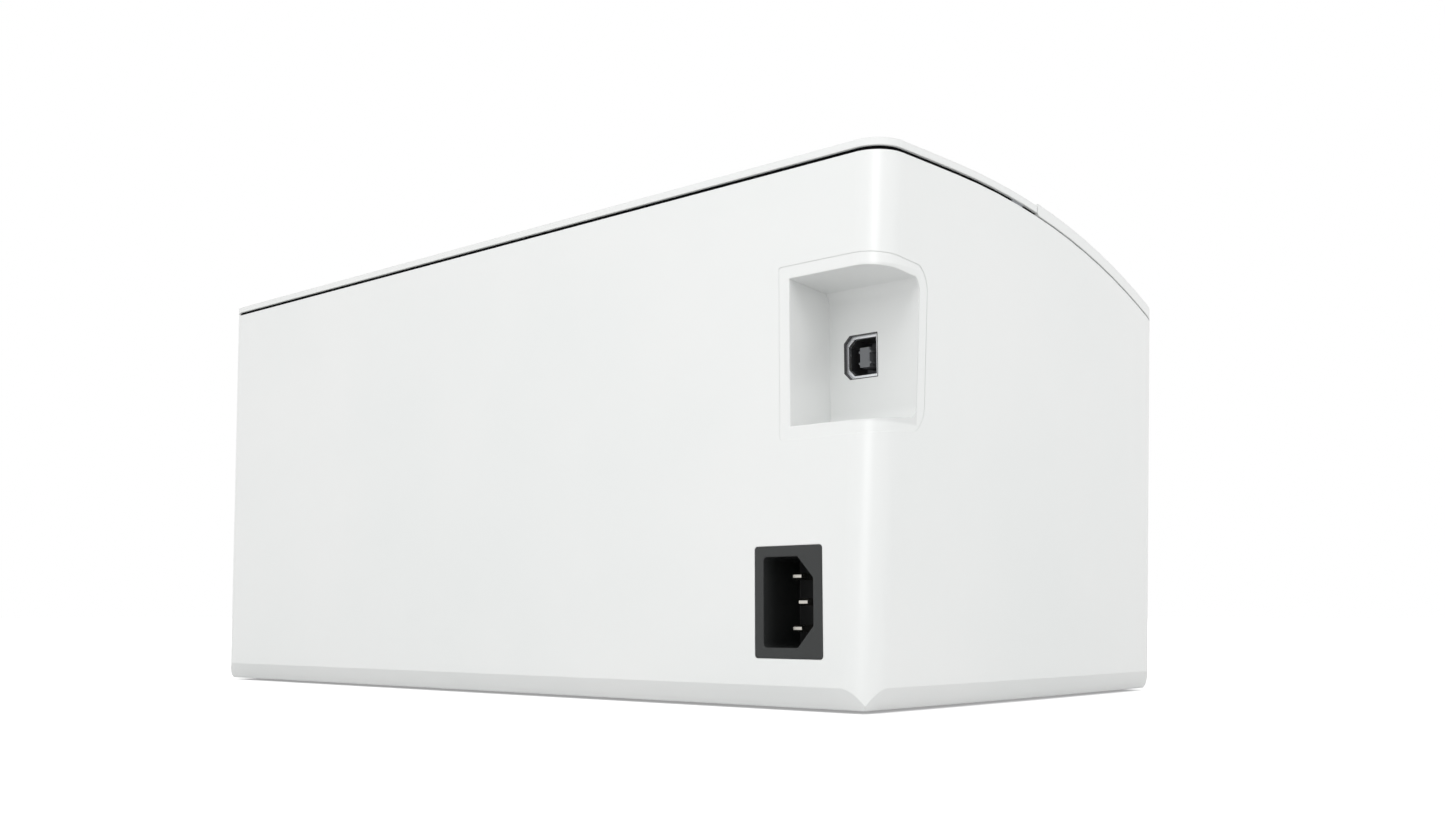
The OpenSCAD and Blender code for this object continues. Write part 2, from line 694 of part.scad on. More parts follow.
module power_board() color([0.62, 0.5, 0.28]) {
    block([power_x[0], power_y[0], power_z0], [power_x[1], power_y[1], power_z0 + board_t]);
    for (x = [power_x[0] + 5, power_x[1] - 5], y = [power_y[0] + 5, power_y[1] - 5])
        translate([x, y, floor_z]) cylinder(r = 3, h = power_z0 - floor_z);
}
power_top = power_z0 + board_t;
module transformer() color([0.75, 0.68, 0.3]) {
    difference() {
        block([-62, 26, power_top], [-28, 60, power_top + 26]);
        for (s = [0, 1])
            block([-56, 25 + s * 29, power_top + 4], [-34, 32 + s * 29, power_top + 22]);
    }
    block([-55, 27, power_top + 5], [-35, 59, power_top + 21]);
}
module heat_sink() color([0.72, 0.73, 0.74]) {
    along_x(-20, 4) difference() {
        square_at([34, power_top], [54, power_top + 30]);
        for (i = [0 : 3])
            square_at([35.6 + 5 * i, power_top + 4], [38.6 + 5 * i, power_top + 31]);
    }
}
module square_at(a, b) translate(a) square(b - a);
module filter_capacitors() color([0.16, 0.2, 0.32]) {
    translate([-86, 44, power_top]) cylinder(r = 11, h = 32);
    for (y = [26, 62])
        translate([-102, y, power_top]) cylinder(r = 5, h = 20);
    translate([-8, 24, power_top]) cylinder(r = 5, h = 18);
}
cable_t = 0.5;
cable_y = [-68.2, -64.2];
cable_z = [84, 93];
module flat_cable() color([0.86, 0.87, 0.88]) along_y(cable_y[0], cable_y[1]) {
    x0 = board_face + 6;
    x1 = left_frame_x + frame_t + 3;
    polygon([[x0, cable_z[0]], [x1, cable_z[0]], [x1, cable_z[1]], [x1 - cable_t, cable_z[1]],
        [x1 - cable_t, cable_z[0] + cable_t], [x0, cable_z[0] + cable_t]]);
}

// ======== print mechanism ========

window_y = [-70, -47];
window_z = [66, 90];
module side_frame(x0, sign) {
    difference() {
        along_x(x0, x0 + frame_t) difference() {
            rounded_rect([frame_y[0], floor_z], [frame_y[1], frame_top], 2.5);
            rounded_rect([window_y[0], window_z[0]], [window_y[1], window_z[1]], 3);
            rounded_rect([-72, 16], [-45, 52], 5);
            square_at([frame_y[0] - 1, floor_z - 1], [frame_foot_y, ledge_top + 0.3]);
        }
        bar_x(x0 - 1, x0 + frame_t + 1, head_pivot_y, head_pivot_z, head_shaft_r + 0.02);
        for (p = tie_at)
            bar_x(x0 - 1, x0 + frame_t + 1, p[0], p[1], tie_end_r + 0.02);
        if (sign > 0)
            bar_x(x0 - 1, x0 + frame_t + 1, idler_y, idler_z, post_r + 0.02);
    }
    // foot bent outwards
    fx = sign > 0 ? [x0 + frame_t, x0 + frame_t + 6] : [x0 - 6, x0];
    difference() {
        block([fx[0], frame_foot_y, floor_z], [fx[1], frame_y[1] - 4, floor_z + frame_t]);
        for (y = foot_screw_y)
            translate([sign > 0 ? fx[0] + 3 : fx[1] - 3, y, 0]) cylinder(r = 1.5, h = 10);
    }
}
foot_screw_y = [-67, -48];
frame_foot_y = -hd + 12.4;          // behind the housing's bottom ledge
tie_r = 3;
tie_end_r = 2;
tie_at = [[-73, 84], [-72, 60]];
left_frame_x = mech_x - frame_x - frame_t;
right_frame_x = mech_x + frame_x;
module side_frame_left() color([0.74, 0.75, 0.76]) side_frame(left_frame_x, -1);
module side_frame_right() color([0.74, 0.75, 0.76]) side_frame(right_frame_x, 1);
module tie_bars() color([0.66, 0.67, 0.68])
    for (p = tie_at) {
        bar_x(left_frame_x + frame_t, right_frame_x, p[0], p[1], tie_r);
        bar_x(left_frame_x, right_frame_x + frame_t, p[0], p[1], tie_end_r);
    }
module frame_screws() color([0.6, 0.6, 0.62])
    for (y = foot_screw_y, x = [left_frame_x - 3, right_frame_x + frame_t + 3])
        translate([x, y, floor_z + frame_t]) cylinder(r = 2.6, h = 1.6);

module platen_shaft() color([0.78, 0.79, 0.8]) {
    bar_x(mech_x - ear_x + 0.3, mech_x + ear_x - 0.3, platen_y, platen_z, platen_shaft_r);
    bar_x(mech_x - ear_x - ear_t - 0.6, gear_x + gear_w + 0.2, platen_y, platen_z, journal_r);
}
module platen_rubber() color([0.12, 0.12, 0.125]) difference() {
    bar_x(mech_x - media_half, mech_x + media_half, platen_y, platen_z, platen_r);
    bar_x(mech_x - media_half - 1, mech_x + media_half + 1, platen_y, platen_z, platen_shaft_r);
}
module platen_bearings() color([0.3, 0.3, 0.3]) both_mech() difference() {
    union() {
        bar_x(ear_x, ear_x + ear_t, platen_y, platen_z, 5);
        bar_x(ear_x - 0.2, ear_x, platen_y, platen_z, 6);
    }
    bar_x(ear_x - 1, ear_x + ear_t + 1, platen_y, platen_z, journal_r + run_clear);
}
module platen_gear() color([0.92, 0.91, 0.86])
    gear_x_axis(gear_x, gear_x + gear_w, platen_y, platen_z, platen_teeth, gear_module,
        idler_angle, journal_r);
module idler_gear() color([0.92, 0.91, 0.86]) {
    gear_x_axis(gear_x - 0.2, gear2_x, idler_y, idler_z, idler_small_teeth, gear_module,
        idler_angle + 180 + 180 / idler_small_teeth, post_r + run_clear);
    difference() {
        gear_x_axis(gear2_x, gear2_x + gear_w, idler_y, idler_z, idler_large_teeth, gear_module,
            motor_angle, post_r + run_clear, 0.95);
        // web holes of the large wheel
        for (i = [0 : 5])
            bar_x(gear2_x - 1, gear2_x + gear_w + 1, idler_y + 12 * cos(60 * i),
                idler_z + 12 * sin(60 * i), 2.6);
    }
}
module motor_pinion() color([0.8, 0.7, 0.42]) {
    gear_x_axis(gear2_x - 0.2, gear2_x + gear_w + 0.2, motor_y, motor_z, pinion_teeth, gear_module,
        motor_angle + 180 + 180 / pinion_teeth, motor_shaft_r, 0.95);
    bar_x(gear2_x - 0.2, motor_plate_x + frame_t + 3, motor_y, motor_z, motor_shaft_r);
}
module idler_post() color([0.7, 0.71, 0.72])
    bar_x(right_frame_x, gear2_x + gear_w + 0.3, idler_y, idler_z, post_r);
pilot_r = 11;
module motor_bracket() color([0.74, 0.75, 0.76]) {
    difference() {
        along_x(motor_plate_x, motor_plate_x + frame_t)
            rounded_rect([motor_y - 20, floor_z], [motor_y + 20, motor_z + 20], 3);
        bar_x(motor_plate_x - 1, motor_plate_x + frame_t + 1, motor_y, motor_z, pilot_r);
        along_x(motor_plate_x - 1, motor_plate_x + frame_t + 1)
            rounded_rect([motor_y - 12, 18], [motor_y + 12, motor_z - 24], 4);
    }
    block([motor_plate_x + frame_t, motor_y - 14, floor_z],
        [motor_plate_x + frame_t + 8, motor_y + 14, floor_z + frame_t]);
}
module stepper_motor() color([0.2, 0.2, 0.21]) {
    x0 = motor_plate_x + frame_t;
    half = motor_size / 2;
    difference() {
        along_x(x0, x0 + motor_len) rounded_outline(
            [[motor_y - half, motor_z - half], [motor_y + half, motor_z - half],
             [motor_y + half, motor_z + half], [motor_y - half, motor_z + half]], [3, 3, 3, 3]);
        bar_x(x0 - 1, x0 + 4, motor_y, motor_z, motor_shaft_r + 0.5);
    }
}

module print_head() color([0.7, 0.71, 0.72]) difference() {
    along_x(mech_x - media_half, mech_x + media_half)
        square_at([head_y[0], head_z0], [head_y[1], head_top - plate_t]);
    // cooling grooves under the heat sink
    along_x(mech_x - media_half - 1, mech_x + media_half + 1)
        for (i = [0 : 3])
            square_at([head_y[0] + 1.6 + 3 * i, head_z0 - 1], [head_y[0] + 3.2 + 3 * i, head_z0 + 5]);
}
module thermal_plate() color([0.86, 0.85, 0.8])
    along_x(mech_x - media_half + 1, mech_x + media_half - 1)
        square_at([platen_y - 5, head_top - plate_t], [platen_y + 4.5, head_top]);
arm_plate = 1.5;
module head_arms() color([0.74, 0.75, 0.76]) both_mech() difference() {
    along_x(media_half, media_half + arm_plate) union() {
        square_at([head_y[0] + 2, head_z0], [head_y[1], head_top - plate_t - 1]);
        polygon([[head_y[1], head_z0], [head_pivot_y, head_pivot_z - 4],
            [head_pivot_y, head_pivot_z + 4], [head_y[1], head_top - plate_t - 1]]);
        translate([head_pivot_y, head_pivot_z]) circle(4);
    }
    bar_x(media_half - 1, media_half + arm_plate + 1, head_pivot_y, head_pivot_z,
        head_shaft_r + run_clear);
}
module head_shaft() color([0.72, 0.73, 0.74])
    bar_x(left_frame_x, right_frame_x + frame_t, head_pivot_y, head_pivot_z, head_shaft_r);
module head_springs() color([0.6, 0.62, 0.65])
    for (x = [-66, 0, 66])
        along_x(mech_x + x - 5, mech_x + x + 5) difference() {
            union() {
                translate([tie_at[0][0], tie_at[0][1]]) circle(tie_r + 0.8);
                polygon([[-73, 87], [-70, 87], [-66, 96.6], [-66, 97.9], [-67.5, 97.9]]);
            }
            translate([tie_at[0][0], tie_at[0][1]]) circle(tie_r);
        }
module media_sensor() color([0.1, 0.1, 0.1]) {
    block([mech_x - 6, -63.9, bay_front_top], [mech_x + 6, -60.2, 103]);
    block([mech_x - 6, -60.2, 101], [mech_x + 6, -50, 105]);
}
hook_x = [ear_x + ear_t + 0.4, frame_x - 0.6];
latch_bar = [-77, 88.4];
latch_bar_r = 1.2;
latch_button_x = mech_x + (hook_x[0] + hook_x[1]) / 2;
latch_button_size = [14, 6];
// Two sprung hooks that turn on the upper tie bar, joined by a bar
module latch_hooks() color([0.25, 0.26, 0.27]) {
    both_mech() along_x(hook_x[0], hook_x[1]) difference() {
        union() {
            translate(tie_at[0]) circle(tie_r + 1.6);
            translate(latch_bar) circle(latch_bar_r + 0.9);
            polygon([tie_at[0] - [3, 1], latch_bar - [1.6, 1], latch_bar + [0, 2], tie_at[0] + [1, 4]]);
            polygon([[-73, 86], [-69.8, 86], [latch_y + 3.2, latch_z + 1.4],
                [latch_y + 1.4, latch_z + 3.6], [latch_y - 1.6, latch_z + 3],
                [latch_y + 0.6, latch_z + 2], [latch_y + 1.9, latch_z + 0.8],
                [latch_y + 1.9, latch_z - 6], [-73.6, 90]]);
        }
        translate(tie_at[0]) circle(tie_r + run_clear);
    }
    bar_x(mech_x - hook_x[1], mech_x + hook_x[1], latch_bar[0], latch_bar[1], latch_bar_r);
}
module latch_button() color([0.3, 0.31, 0.32]) translate([latch_button_x, 0, latch_button_z]) {
    along_y(-hd, -hd + wall_t + 0.2) centred_rect(latch_button_size, 1.5);
    along_y(-hd + wall_t + 0.2, -hd + wall_t + 1.4) centred_rect(latch_button_size + [2, 2], 2);
    along_y(-hd + 3, -73.85) square([3.6, 1.6], center = true);
}
module latch_pins() color([0.78, 0.79, 0.8]) both_mech()
    bar_x(ear_x + ear_t, hook_x[1], latch_y, latch_z, latch_r);

// Under-frame of the cover: two ears with the platen's bearings, beams and hinge arms
ear_low = 109;
module cover_inner_frame() color([0.09, 0.09, 0.095]) {
    both_mech() difference() {
        along_x(ear_x, ear_x + ear_t) intersection() {
            under_top(cover_under, 90);
            translate([pivot_y, pivot_z]) circle(swing_r, $fn = 360);
            polygon([[-80.4, latch_z - 3], [latch_y + 2.6, latch_z - 3], [latch_y + 3.6, ear_low],
                [-55, ear_low], [seam_y - 4.5, 136], [seam_y - 4.5, far], [-80.4, far]]);
        }
        bar_x(ear_x - 1, ear_x + ear_t + 1, platen_y, platen_z, 5);
    }
    // rear beam, front beam
    intersection() {
        block([-arm_x[1], seam_y - 4.5, 136], [arm_x[1], seam_y - 1.5, far]);
        along_x(-far / 2, far / 2) under_top(cover_under, 60);
    }
    block([mech_x - ear_x, -80.4, 120.5], [mech_x + ear_x, -78.9, top_z(-80.4, cover_under)]);
    // two stiffening ribs under the skin
    for (y = [-50, -24])
        intersection() {
            block([mech_x - ear_x, y, top_z(y) - 4], [mech_x + ear_x, y + 1.6, far]);
            along_x(-far / 2, far / 2) under_top(cover_under, 60);
        }
    both_ends() difference() {
        along_x(arm_x[0], arm_x[1]) {
            translate([pivot_y, pivot_z]) circle(barrel_r);
            square_at([pivot_y - 0.6, pivot_z - arm_drop], [pivot_y + barrel_r, pivot_z]);
            square_at([pivot_y - arm_reach, pivot_z - arm_drop],
                [pivot_y + barrel_r, pivot_z - arm_drop + arm_t]);
            square_at([pivot_y - arm_reach, pivot_z - arm_drop], [seam_y - 1.5, 138]);
        }
        bar_x(arm_x[0] - 1, arm_x[1] + 1, pivot_y, pivot_z, hinge_pin_r + run_clear);
    }
}
module hinge_brackets() color([0.72, 0.73, 0.74]) both_ends() {
    difference() {
        union() {
            for (c = [cheek_in, cheek_out])
                along_x(c[0], c[1]) intersection() {
                    square_at([pivot_y - lug_w / 2, lug_base_z], [pivot_y + lug_w / 2, far]);
                    under_top(slab_gap - 0.05, 100);
                }
            intersection() {
                body_block(wall_t, 10);
                block([cheek_in[0], pivot_y - lug_w / 2, lug_base_z],
                    [far, pivot_y + lug_w / 2, lug_base_z + 4]);
            }
        }
        bar_x(cheek_in[0] - 1, cheek_out[1] + 1, pivot_y, pivot_z, hinge_pin_r);
    }
    // tab that rests on the wall's top edge and shows in the gap
    intersection() {
        body_block(0.6, 10);
        along_x(cheek_out[1], far / 2) difference() {
            under_top(slab_gap - 0.05, 100);
            under_top(0, 99);
        }
        block([0, pivot_y - lug_w / 2, 0], [far, pivot_y + lug_w / 2, far]);
    }
}
module hinge_pins() color([0.78, 0.79, 0.8]) both_ends()
    bar_x(cheek_in[0], cheek_out[1], pivot_y, pivot_z, hinge_pin_r);

// ======== roll bay ========

module trough(grow, top_front, top_rear) {
    translate([bay_y, bay_z]) circle(bay_r + grow);
    square_at([bay_y - bay_r - grow, bay_z], [bay_y, top_front]);
    square_at([bay_y, bay_z], [bay_y + bay_r + grow, top_rear]);
    square_at([bay_y - channel[0] - grow, channel[1] - grow], [bay_y + channel[0] + grow, bay_z]);
}
deck_line = [[-66, 98], [6, 128]];
module roll_bay() color([0.1, 0.1, 0.105]) {
    x0 = mech_x - bay_x;
    x1 = mech_x + bay_x;
    along_x(x0 - bay_t, x1 + bay_t) difference() {
        trough(bay_t, bay_front_top, 131.9);
        trough(0, far, far);
    }
    for (x = [x0 - bay_t, x1])
        along_x(x, x + bay_t) difference() {
            intersection() {
                trough(bay_t, far, far);
                polygon([[-far, 0], [far, 0], [far, deck_line[1][1] - 1], deck_line[1] - [0, 1],
                    deck_line[0] - [0, 1], [-far, deck_line[0][1] - 1]]);
            }
            translate([head_pivot_y, head_pivot_z]) circle(head_shaft_r + 0.1);
        }
    // decks beside the bay
    along_x(-opening_x, left_frame_x - 0.3) deck(-63);
    along_x(left_frame_x - 0.8, x0 - bay_t + 0.5) deck(frame_y[1] + 0.3);
    along_x(x1 + bay_t - 0.5, opening_x) deck(frame_y[1] + 0.3);
}
module deck(y0) {
    rise = (deck_line[1][1] - deck_line[0][1]) / (deck_line[1][0] - deck_line[0][0]);
    z0 = deck_line[0][1] + rise * (y0 - deck_line[0][0]);
    polygon([[y0, z0 - 2], [y0, z0], deck_line[1], deck_line[1] - [0, 2]]);
}
module guide_rail() color([0.72, 0.73, 0.74])
    difference() {
        block([mech_x - bay_x, rail_y[0], rail_z[0]], [mech_x + bay_x, rail_y[1], rail_z[1]]);
        translate([mech_x, bay_y, rail_z[0] - 1]) cylinder(r = 2 + 0.01, h = 10);
    }
module pinion_pin() color([0.78, 0.79, 0.8]) translate([mech_x, bay_y, rail_z[0]])
    cylinder(r = 2, h = rack_z[1] - rail_z[0] + 0.5);
module holder_pinion() color([0.92, 0.91, 0.86]) translate([mech_x, bay_y, rack_z[0]])
    linear_extrude(rack_z[1] - rack_z[0]) difference() {
        rotate(90) gear_outline(holder_pinion_teeth, holder_module, 0.9);
        circle(2 + run_clear);
    }
// Rack along X whose pitch line is at y = 0 and whose body lies towards +y; a gap is at x = 0
module rack_outline(x0, x1) {
    pitch = PI * holder_module;
    half = pitch / 4 - 0.1;
    slope = tan(pressure) * holder_module;
    i0 = ceil(x0 / pitch - 0.5);
    i1 = floor(x1 / pitch - 0.5) - 1;
    polygon(concat([[x0, 1.25 * holder_module + rack_w], [x0, 1.25 * holder_module]],
        [for (i = [i0 : i1]) let (c = (i + 0.5) * pitch) each
            [[c - half - 1.25 * slope, 1.25 * holder_module],
             [c - half + 0.9 * slope, -0.9 * holder_module],
             [c + half - 0.9 * slope, -0.9 * holder_module],
             [c + half + 1.25 * slope, 1.25 * holder_module]]],
        [[x1, 1.25 * holder_module], [x1, 1.25 * holder_module + rack_w]]));
}
// Left roll holder: cheek, stub for the hub, slider on the rail and its rack
module roll_holder() {
    xf = -holder_x;
    rack_y = holder_pinion_r + mesh_play;
    difference() {
        union() {
            along_x(xf - holder_t, xf) {
                translate([bay_y, bay_z]) circle(bay_r - 7);
                square_at([bay_y - 12, rack_z[1] + 0.5], [bay_y + 12, bay_z]);
            }
            bar_x(xf - holder_t, xf + 12, bay_y, bay_z, stub_r);
        }
        for (i = [0 : 5])
            bar_x(xf - holder_t - 1, xf + 1, bay_y + 18 * cos(60 * i + 30), bay_z + 18 * sin(60 * i + 30), 5);
    }
    // slider that straddles the rail
    block([xf - holder_t, bay_y - 14, rack_z[1] + 0.3], [xf + 14, bay_y + 3, rack_z[1] + 3.3]);
    block([xf - holder_t, bay_y - 14, rail_z[0] + 0.6], [xf + 14, rail_y[0] - 0.2, rack_z[1] + 3.3]);
    // rack towards the middle
    translate([0, bay_y, rack_z[0]]) mirror([0, 1, 0]) translate([0, rack_y, 0])
        linear_extrude(rack_z[1] - rack_z[0]) rack_outline(xf + 14 - 0.5, 12);
}
module roll_holder_left() color([0.55, 0.56, 0.58]) translate([mech_x, 0, 0]) roll_holder();
module roll_holder_right() color([0.55, 0.56, 0.58])
    translate([mech_x, 2 * bay_y, 0]) rotate([0, 0, 180]) roll_holder();
module roll_hub() translate([-holder_x + 0.3, bay_y, bay_z]) rotate([0, 90, 0]) rotate_extrude()
    polygon([[stub_r + run_clear, 0], [hub_r + 4, 0], [hub_r + 4, 2], [hub_r, 2], [hub_r, 9],
        [hub_r - 2, 12], [stub_r + run_clear, 12]]);
module roll_hub_left() color([0.2, 0.2, 0.21]) translate([mech_x, 0, 0]) roll_hub();
module roll_hub_right() color([0.2, 0.2, 0.21]) translate([mech_x, 2 * bay_y, 0])
    rotate([0, 0, 180]) roll_hub();

main_housing();
base_plate();
rubber_feet();
base_screws();
top_slab();
chassis_frame();
roll_bay();
front_bezel();
tear_bar();
status_light();
power_inlet_body();
power_inlet_pins();
usb_shell();
usb_tongue();
usb_contacts();
main_board();
board_parts();
power_board();
transformer();
heat_sink();
filter_capacitors();
button_board();
flat_cable();
side_frame_left();
side_frame_right();
tie_bars();
frame_screws();
stepper_motor();
motor_bracket();
idler_post();
head_shaft();
head_springs();
media_sensor();
guide_rail();
pinion_pin();
hinge_brackets();
hinge_pins();
latch_hooks();
latch_button();
front_cover();
cover_inner_frame();
platen_bearings();
latch_pins();
platen_shaft();
platen_rubber();
platen_gear();
idler_gear();
motor_pinion();
print_head();
thermal_plate();
head_arms();
roll_holder_left();
roll_holder_right();
roll_hub_left();
roll_hub_right();
holder_pinion();
feed_button();
power_button();
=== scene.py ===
"""Looks of a desktop thermal label printer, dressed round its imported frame.

Each sub-assembly is a class that finishes its solids of the frame and builds its small pieces.
The frame is in metres, with its front at -Y, its rear at +Y and the floor at Z = 0. The sizes of
pieces and patterns below are millimetres, and turn to metres as a mesh or material is made.
"""

from __future__ import annotations

import json
import logging
import math
from dataclasses import dataclass, field
from enum import Enum
from itertools import product
from typing import Sequence

import bmesh
import bpy
from mathutils import Matrix, Vector

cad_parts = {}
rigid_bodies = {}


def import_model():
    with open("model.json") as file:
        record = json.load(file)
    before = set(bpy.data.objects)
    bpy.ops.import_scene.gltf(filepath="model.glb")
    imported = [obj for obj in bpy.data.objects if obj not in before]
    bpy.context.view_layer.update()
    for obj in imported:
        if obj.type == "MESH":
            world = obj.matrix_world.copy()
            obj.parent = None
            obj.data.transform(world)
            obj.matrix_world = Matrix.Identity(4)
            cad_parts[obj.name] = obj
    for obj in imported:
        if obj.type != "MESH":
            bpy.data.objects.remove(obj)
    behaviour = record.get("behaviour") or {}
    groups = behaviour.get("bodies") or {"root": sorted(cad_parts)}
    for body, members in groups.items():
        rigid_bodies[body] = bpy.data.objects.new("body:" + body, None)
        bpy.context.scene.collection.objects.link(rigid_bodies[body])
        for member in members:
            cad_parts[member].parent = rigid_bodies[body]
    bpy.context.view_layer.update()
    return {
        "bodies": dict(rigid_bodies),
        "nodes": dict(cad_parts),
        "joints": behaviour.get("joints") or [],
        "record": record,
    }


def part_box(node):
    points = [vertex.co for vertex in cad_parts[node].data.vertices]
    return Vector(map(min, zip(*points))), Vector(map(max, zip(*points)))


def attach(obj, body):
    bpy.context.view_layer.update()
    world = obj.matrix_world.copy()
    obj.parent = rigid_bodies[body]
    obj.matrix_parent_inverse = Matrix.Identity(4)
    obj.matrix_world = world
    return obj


LOG = logging.getLogger("label_printer")
MM = 0.001
TURN = 2 * math.pi
PIECE_CREASE = math.radians(30)  # faces that meet at less are shaded as one
SOLID_CREASE = math.radians(28)
BEVEL_CREASE = math.radians(40)  # edges sharper than this are rounded
Flat = tuple[float, float]
Point = tuple[float, float, float]


class Axis(Enum):
    """Directions along which a piece is built."""

    X = "X"
    Y = "Y"
    Z = "Z"

    def split(self, along: float, across: float) -> Point:
        """Gives one value for this axis and another for the other two."""
        return tuple(along if axis is self else across for axis in Axis)

    def point(self, a: float, b: float, along: float) -> Point:
        """Gives the point at a place on this axis and at a and b on the others, in order."""
        return {Axis.X: (along, a, b), Axis.Y: (a, along, b), Axis.Z: (a, b, along)}[self]

    def stand(self, at: Point, back: bool = False) -> Matrix:
        """Gives the placement of a form that is drawn up the Z axis.

        Args:
            at: Where its foot goes.
            back: True to run towards this axis's negative end.

        Returns:
            The placement, with Z laid along this axis.
        """
        lay = {Axis.X: Matrix.Rotation(math.pi / 2, 4, "Y"),
               Axis.Y: Matrix.Rotation(-math.pi / 2, 4, "X"), Axis.Z: Matrix.Identity(4)}[self]
        return Matrix.Translation(at) @ lay @ Matrix.Rotation(math.pi * back, 4, "X")


class Coat(Enum):
    """How the face of a metal is made."""

    ZINC = "zinc"
    GROUND = "ground"


# ---------------------------------------------------------------- node tools


def linear(code: str) -> tuple[float, float, float, float]:
    """Turns an sRGB hex colour to the linear values that shaders take.

    Args:
        code: Six hex digits.

    Returns:
        Red, green, blue and an alpha of 1.
    """
    values = [int(code[i : i + 2], 16) / 255 for i in (0, 2, 4)]
    return (*(v / 12.92 if v <= 0.04045 else ((v + 0.055) / 1.055) ** 2.4 for v in values), 1.0)


def add_node(tree: bpy.types.NodeTree, kind: str, settings: dict | None = None,
             links: dict | None = None) -> bpy.types.Node:
    """Adds one node with its settings and links.

    Args:
        tree: The tree that the node joins.
        kind: The end of its Blender type's name, such as TexNoise.
        settings: Attribute names, or input names or indices, with their values.
        links: Input names or indices with the sockets that feed them, or with the nodes whose
            first output does.

    Returns:
        The new node.
    """
    node = tree.nodes.new(f"ShaderNode{kind}")
    for key, value in (settings or {}).items():
        if isinstance(key, str) and key not in node.inputs:
            setattr(node, key, value)
        else:
            node.inputs[key].default_value = value
    for key, source in (links or {}).items():
        is_node = isinstance(source, bpy.types.Node)
        tree.links.new(source.outputs[0] if is_node else source, node.inputs[key])
    return node


# ------------------------------------------------------------------ finishes


@dataclass(frozen=True)
class Pattern:
    """A texture over a surface, and how its values are read.

    Attributes:
        kind: The end of its Blender type's name, such as Noise.
        size: Size of its features, one for all axes or one for each.
        settings: Its other settings.
        marks: Its values where the finish has its first and its second colour.
        spread: How far it takes the roughness to each side.
        turn: Its rotation in radians.
    """

    kind: str
    size: float | Point
    settings: dict[str, object] = field(default_factory=dict)
    marks: Flat = (0.35, 0.65)
    spread: float = 0.06
    turn: Point = (0, 0, 0)

    def add(self, tree: bpy.types.NodeTree) -> bpy.types.Node:
        """Adds the texture to a tree, in object coordinates.

        Args:
            tree: The material's tree.

        Returns:
            Its node.
        """
        sizes = self.size if isinstance(self.size, tuple) else (self.size,) * 3
        place = add_node(tree, "TexCoord").outputs["Object"]
        spot = add_node(tree, "Mapping", {
            "Rotation": self.turn, "Scale": [1 / (size * MM) for size in sizes]}, {0: place})
        return add_node(tree, f"Tex{self.kind}", {"Scale": 1.0, **self.settings}, {"Vector": spot})


@dataclass(frozen=True)
class Finish:
    """A finish: its colour and gloss, with the surface that each kind adds.

    Attributes:
        name: The material's name.
        colour: Its sRGB hex colour.
        shade: A second hex colour that it wanders to.
        roughness: Mean roughness.
        metallic: 1 for bare metal.
        ior: Index of refraction, left at the shader's own 1.5 for metal.
        depth: Depth of its relief.
        edge: Radius at which its sharp edges take the light, or 0 to leave them sharp.
    """

    name: str
    colour: str
    shade: str
    roughness: float
    metallic: float = 0.0
    ior: float = 1.5
    depth: float = 0.01
    edge: float = 0.0
    skin = {}  # other sockets of the shader that the kind sets

    def mottle(self) -> Pattern:
        """Gives the pattern of its colour and gloss; each kind has its own."""
        raise NotImplementedError

    def relief(self) -> Pattern:
        """Gives the pattern of its height, which follows its colour unless a kind differs."""
        return self.mottle()

    def build(self) -> bpy.types.Material:
        """Makes the material.

        Returns:
            The material.
        """
        material = bpy.data.materials.new(self.name)
        material.use_nodes = True
        tree = material.node_tree
        tree.nodes.clear()
        mottle, relief = self.mottle(), self.relief()
        tone = mottle.add(tree)
        height = tone if relief == mottle else relief.add(tree)
        ramp = add_node(tree, "ValToRGB", {}, {0: tone})
        for element, place, code in zip(ramp.color_ramp.elements, mottle.marks,
                                        (self.colour, self.shade)):
            element.position, element.color = place, linear(code)
        rough = add_node(tree, "MapRange", {
            "To Min": max(self.roughness - mottle.spread, 0.02),
            "To Max": self.roughness + mottle.spread}, {0: tone})
        surface = {"Height": height}
        if self.edge:
            surface["Normal"] = add_node(tree, "Bevel", {"samples": 6, "Radius": self.edge * MM})
        bump = add_node(tree, "Bump", {"Distance": self.depth * MM}, surface)
        shader = add_node(tree, "BsdfPrincipled", {
            "Base Color": linear(self.colour), "Roughness": self.roughness,
            "Metallic": self.metallic, "IOR": self.ior, **self.skin}, {
            "Base Color": ramp, "Roughness": rough, "Normal": bump})
        add_node(tree, "OutputMaterial", {}, {"Surface": shader})
        return material


@dataclass(frozen=True)
class Moulded(Finish):
    """Injection-moulded plastic from a spark-eroded mould: a fine, even orange-peel grain.

    Attributes:
        grain: Size of the grain.
    """

    grain: float = 0.35

    def mottle(self) -> Pattern:
        """Gives the slow drift of colour that the melt leaves as it flows."""
        return Pattern("Noise", 60, {"Detail": 3.0}, (0.3, 0.7), 0.03)

    def relief(self) -> Pattern:
        """Gives the grain of the mould."""
        return Pattern("Noise", self.grain, {"Detail": 2.0, "Roughness": 0.6})


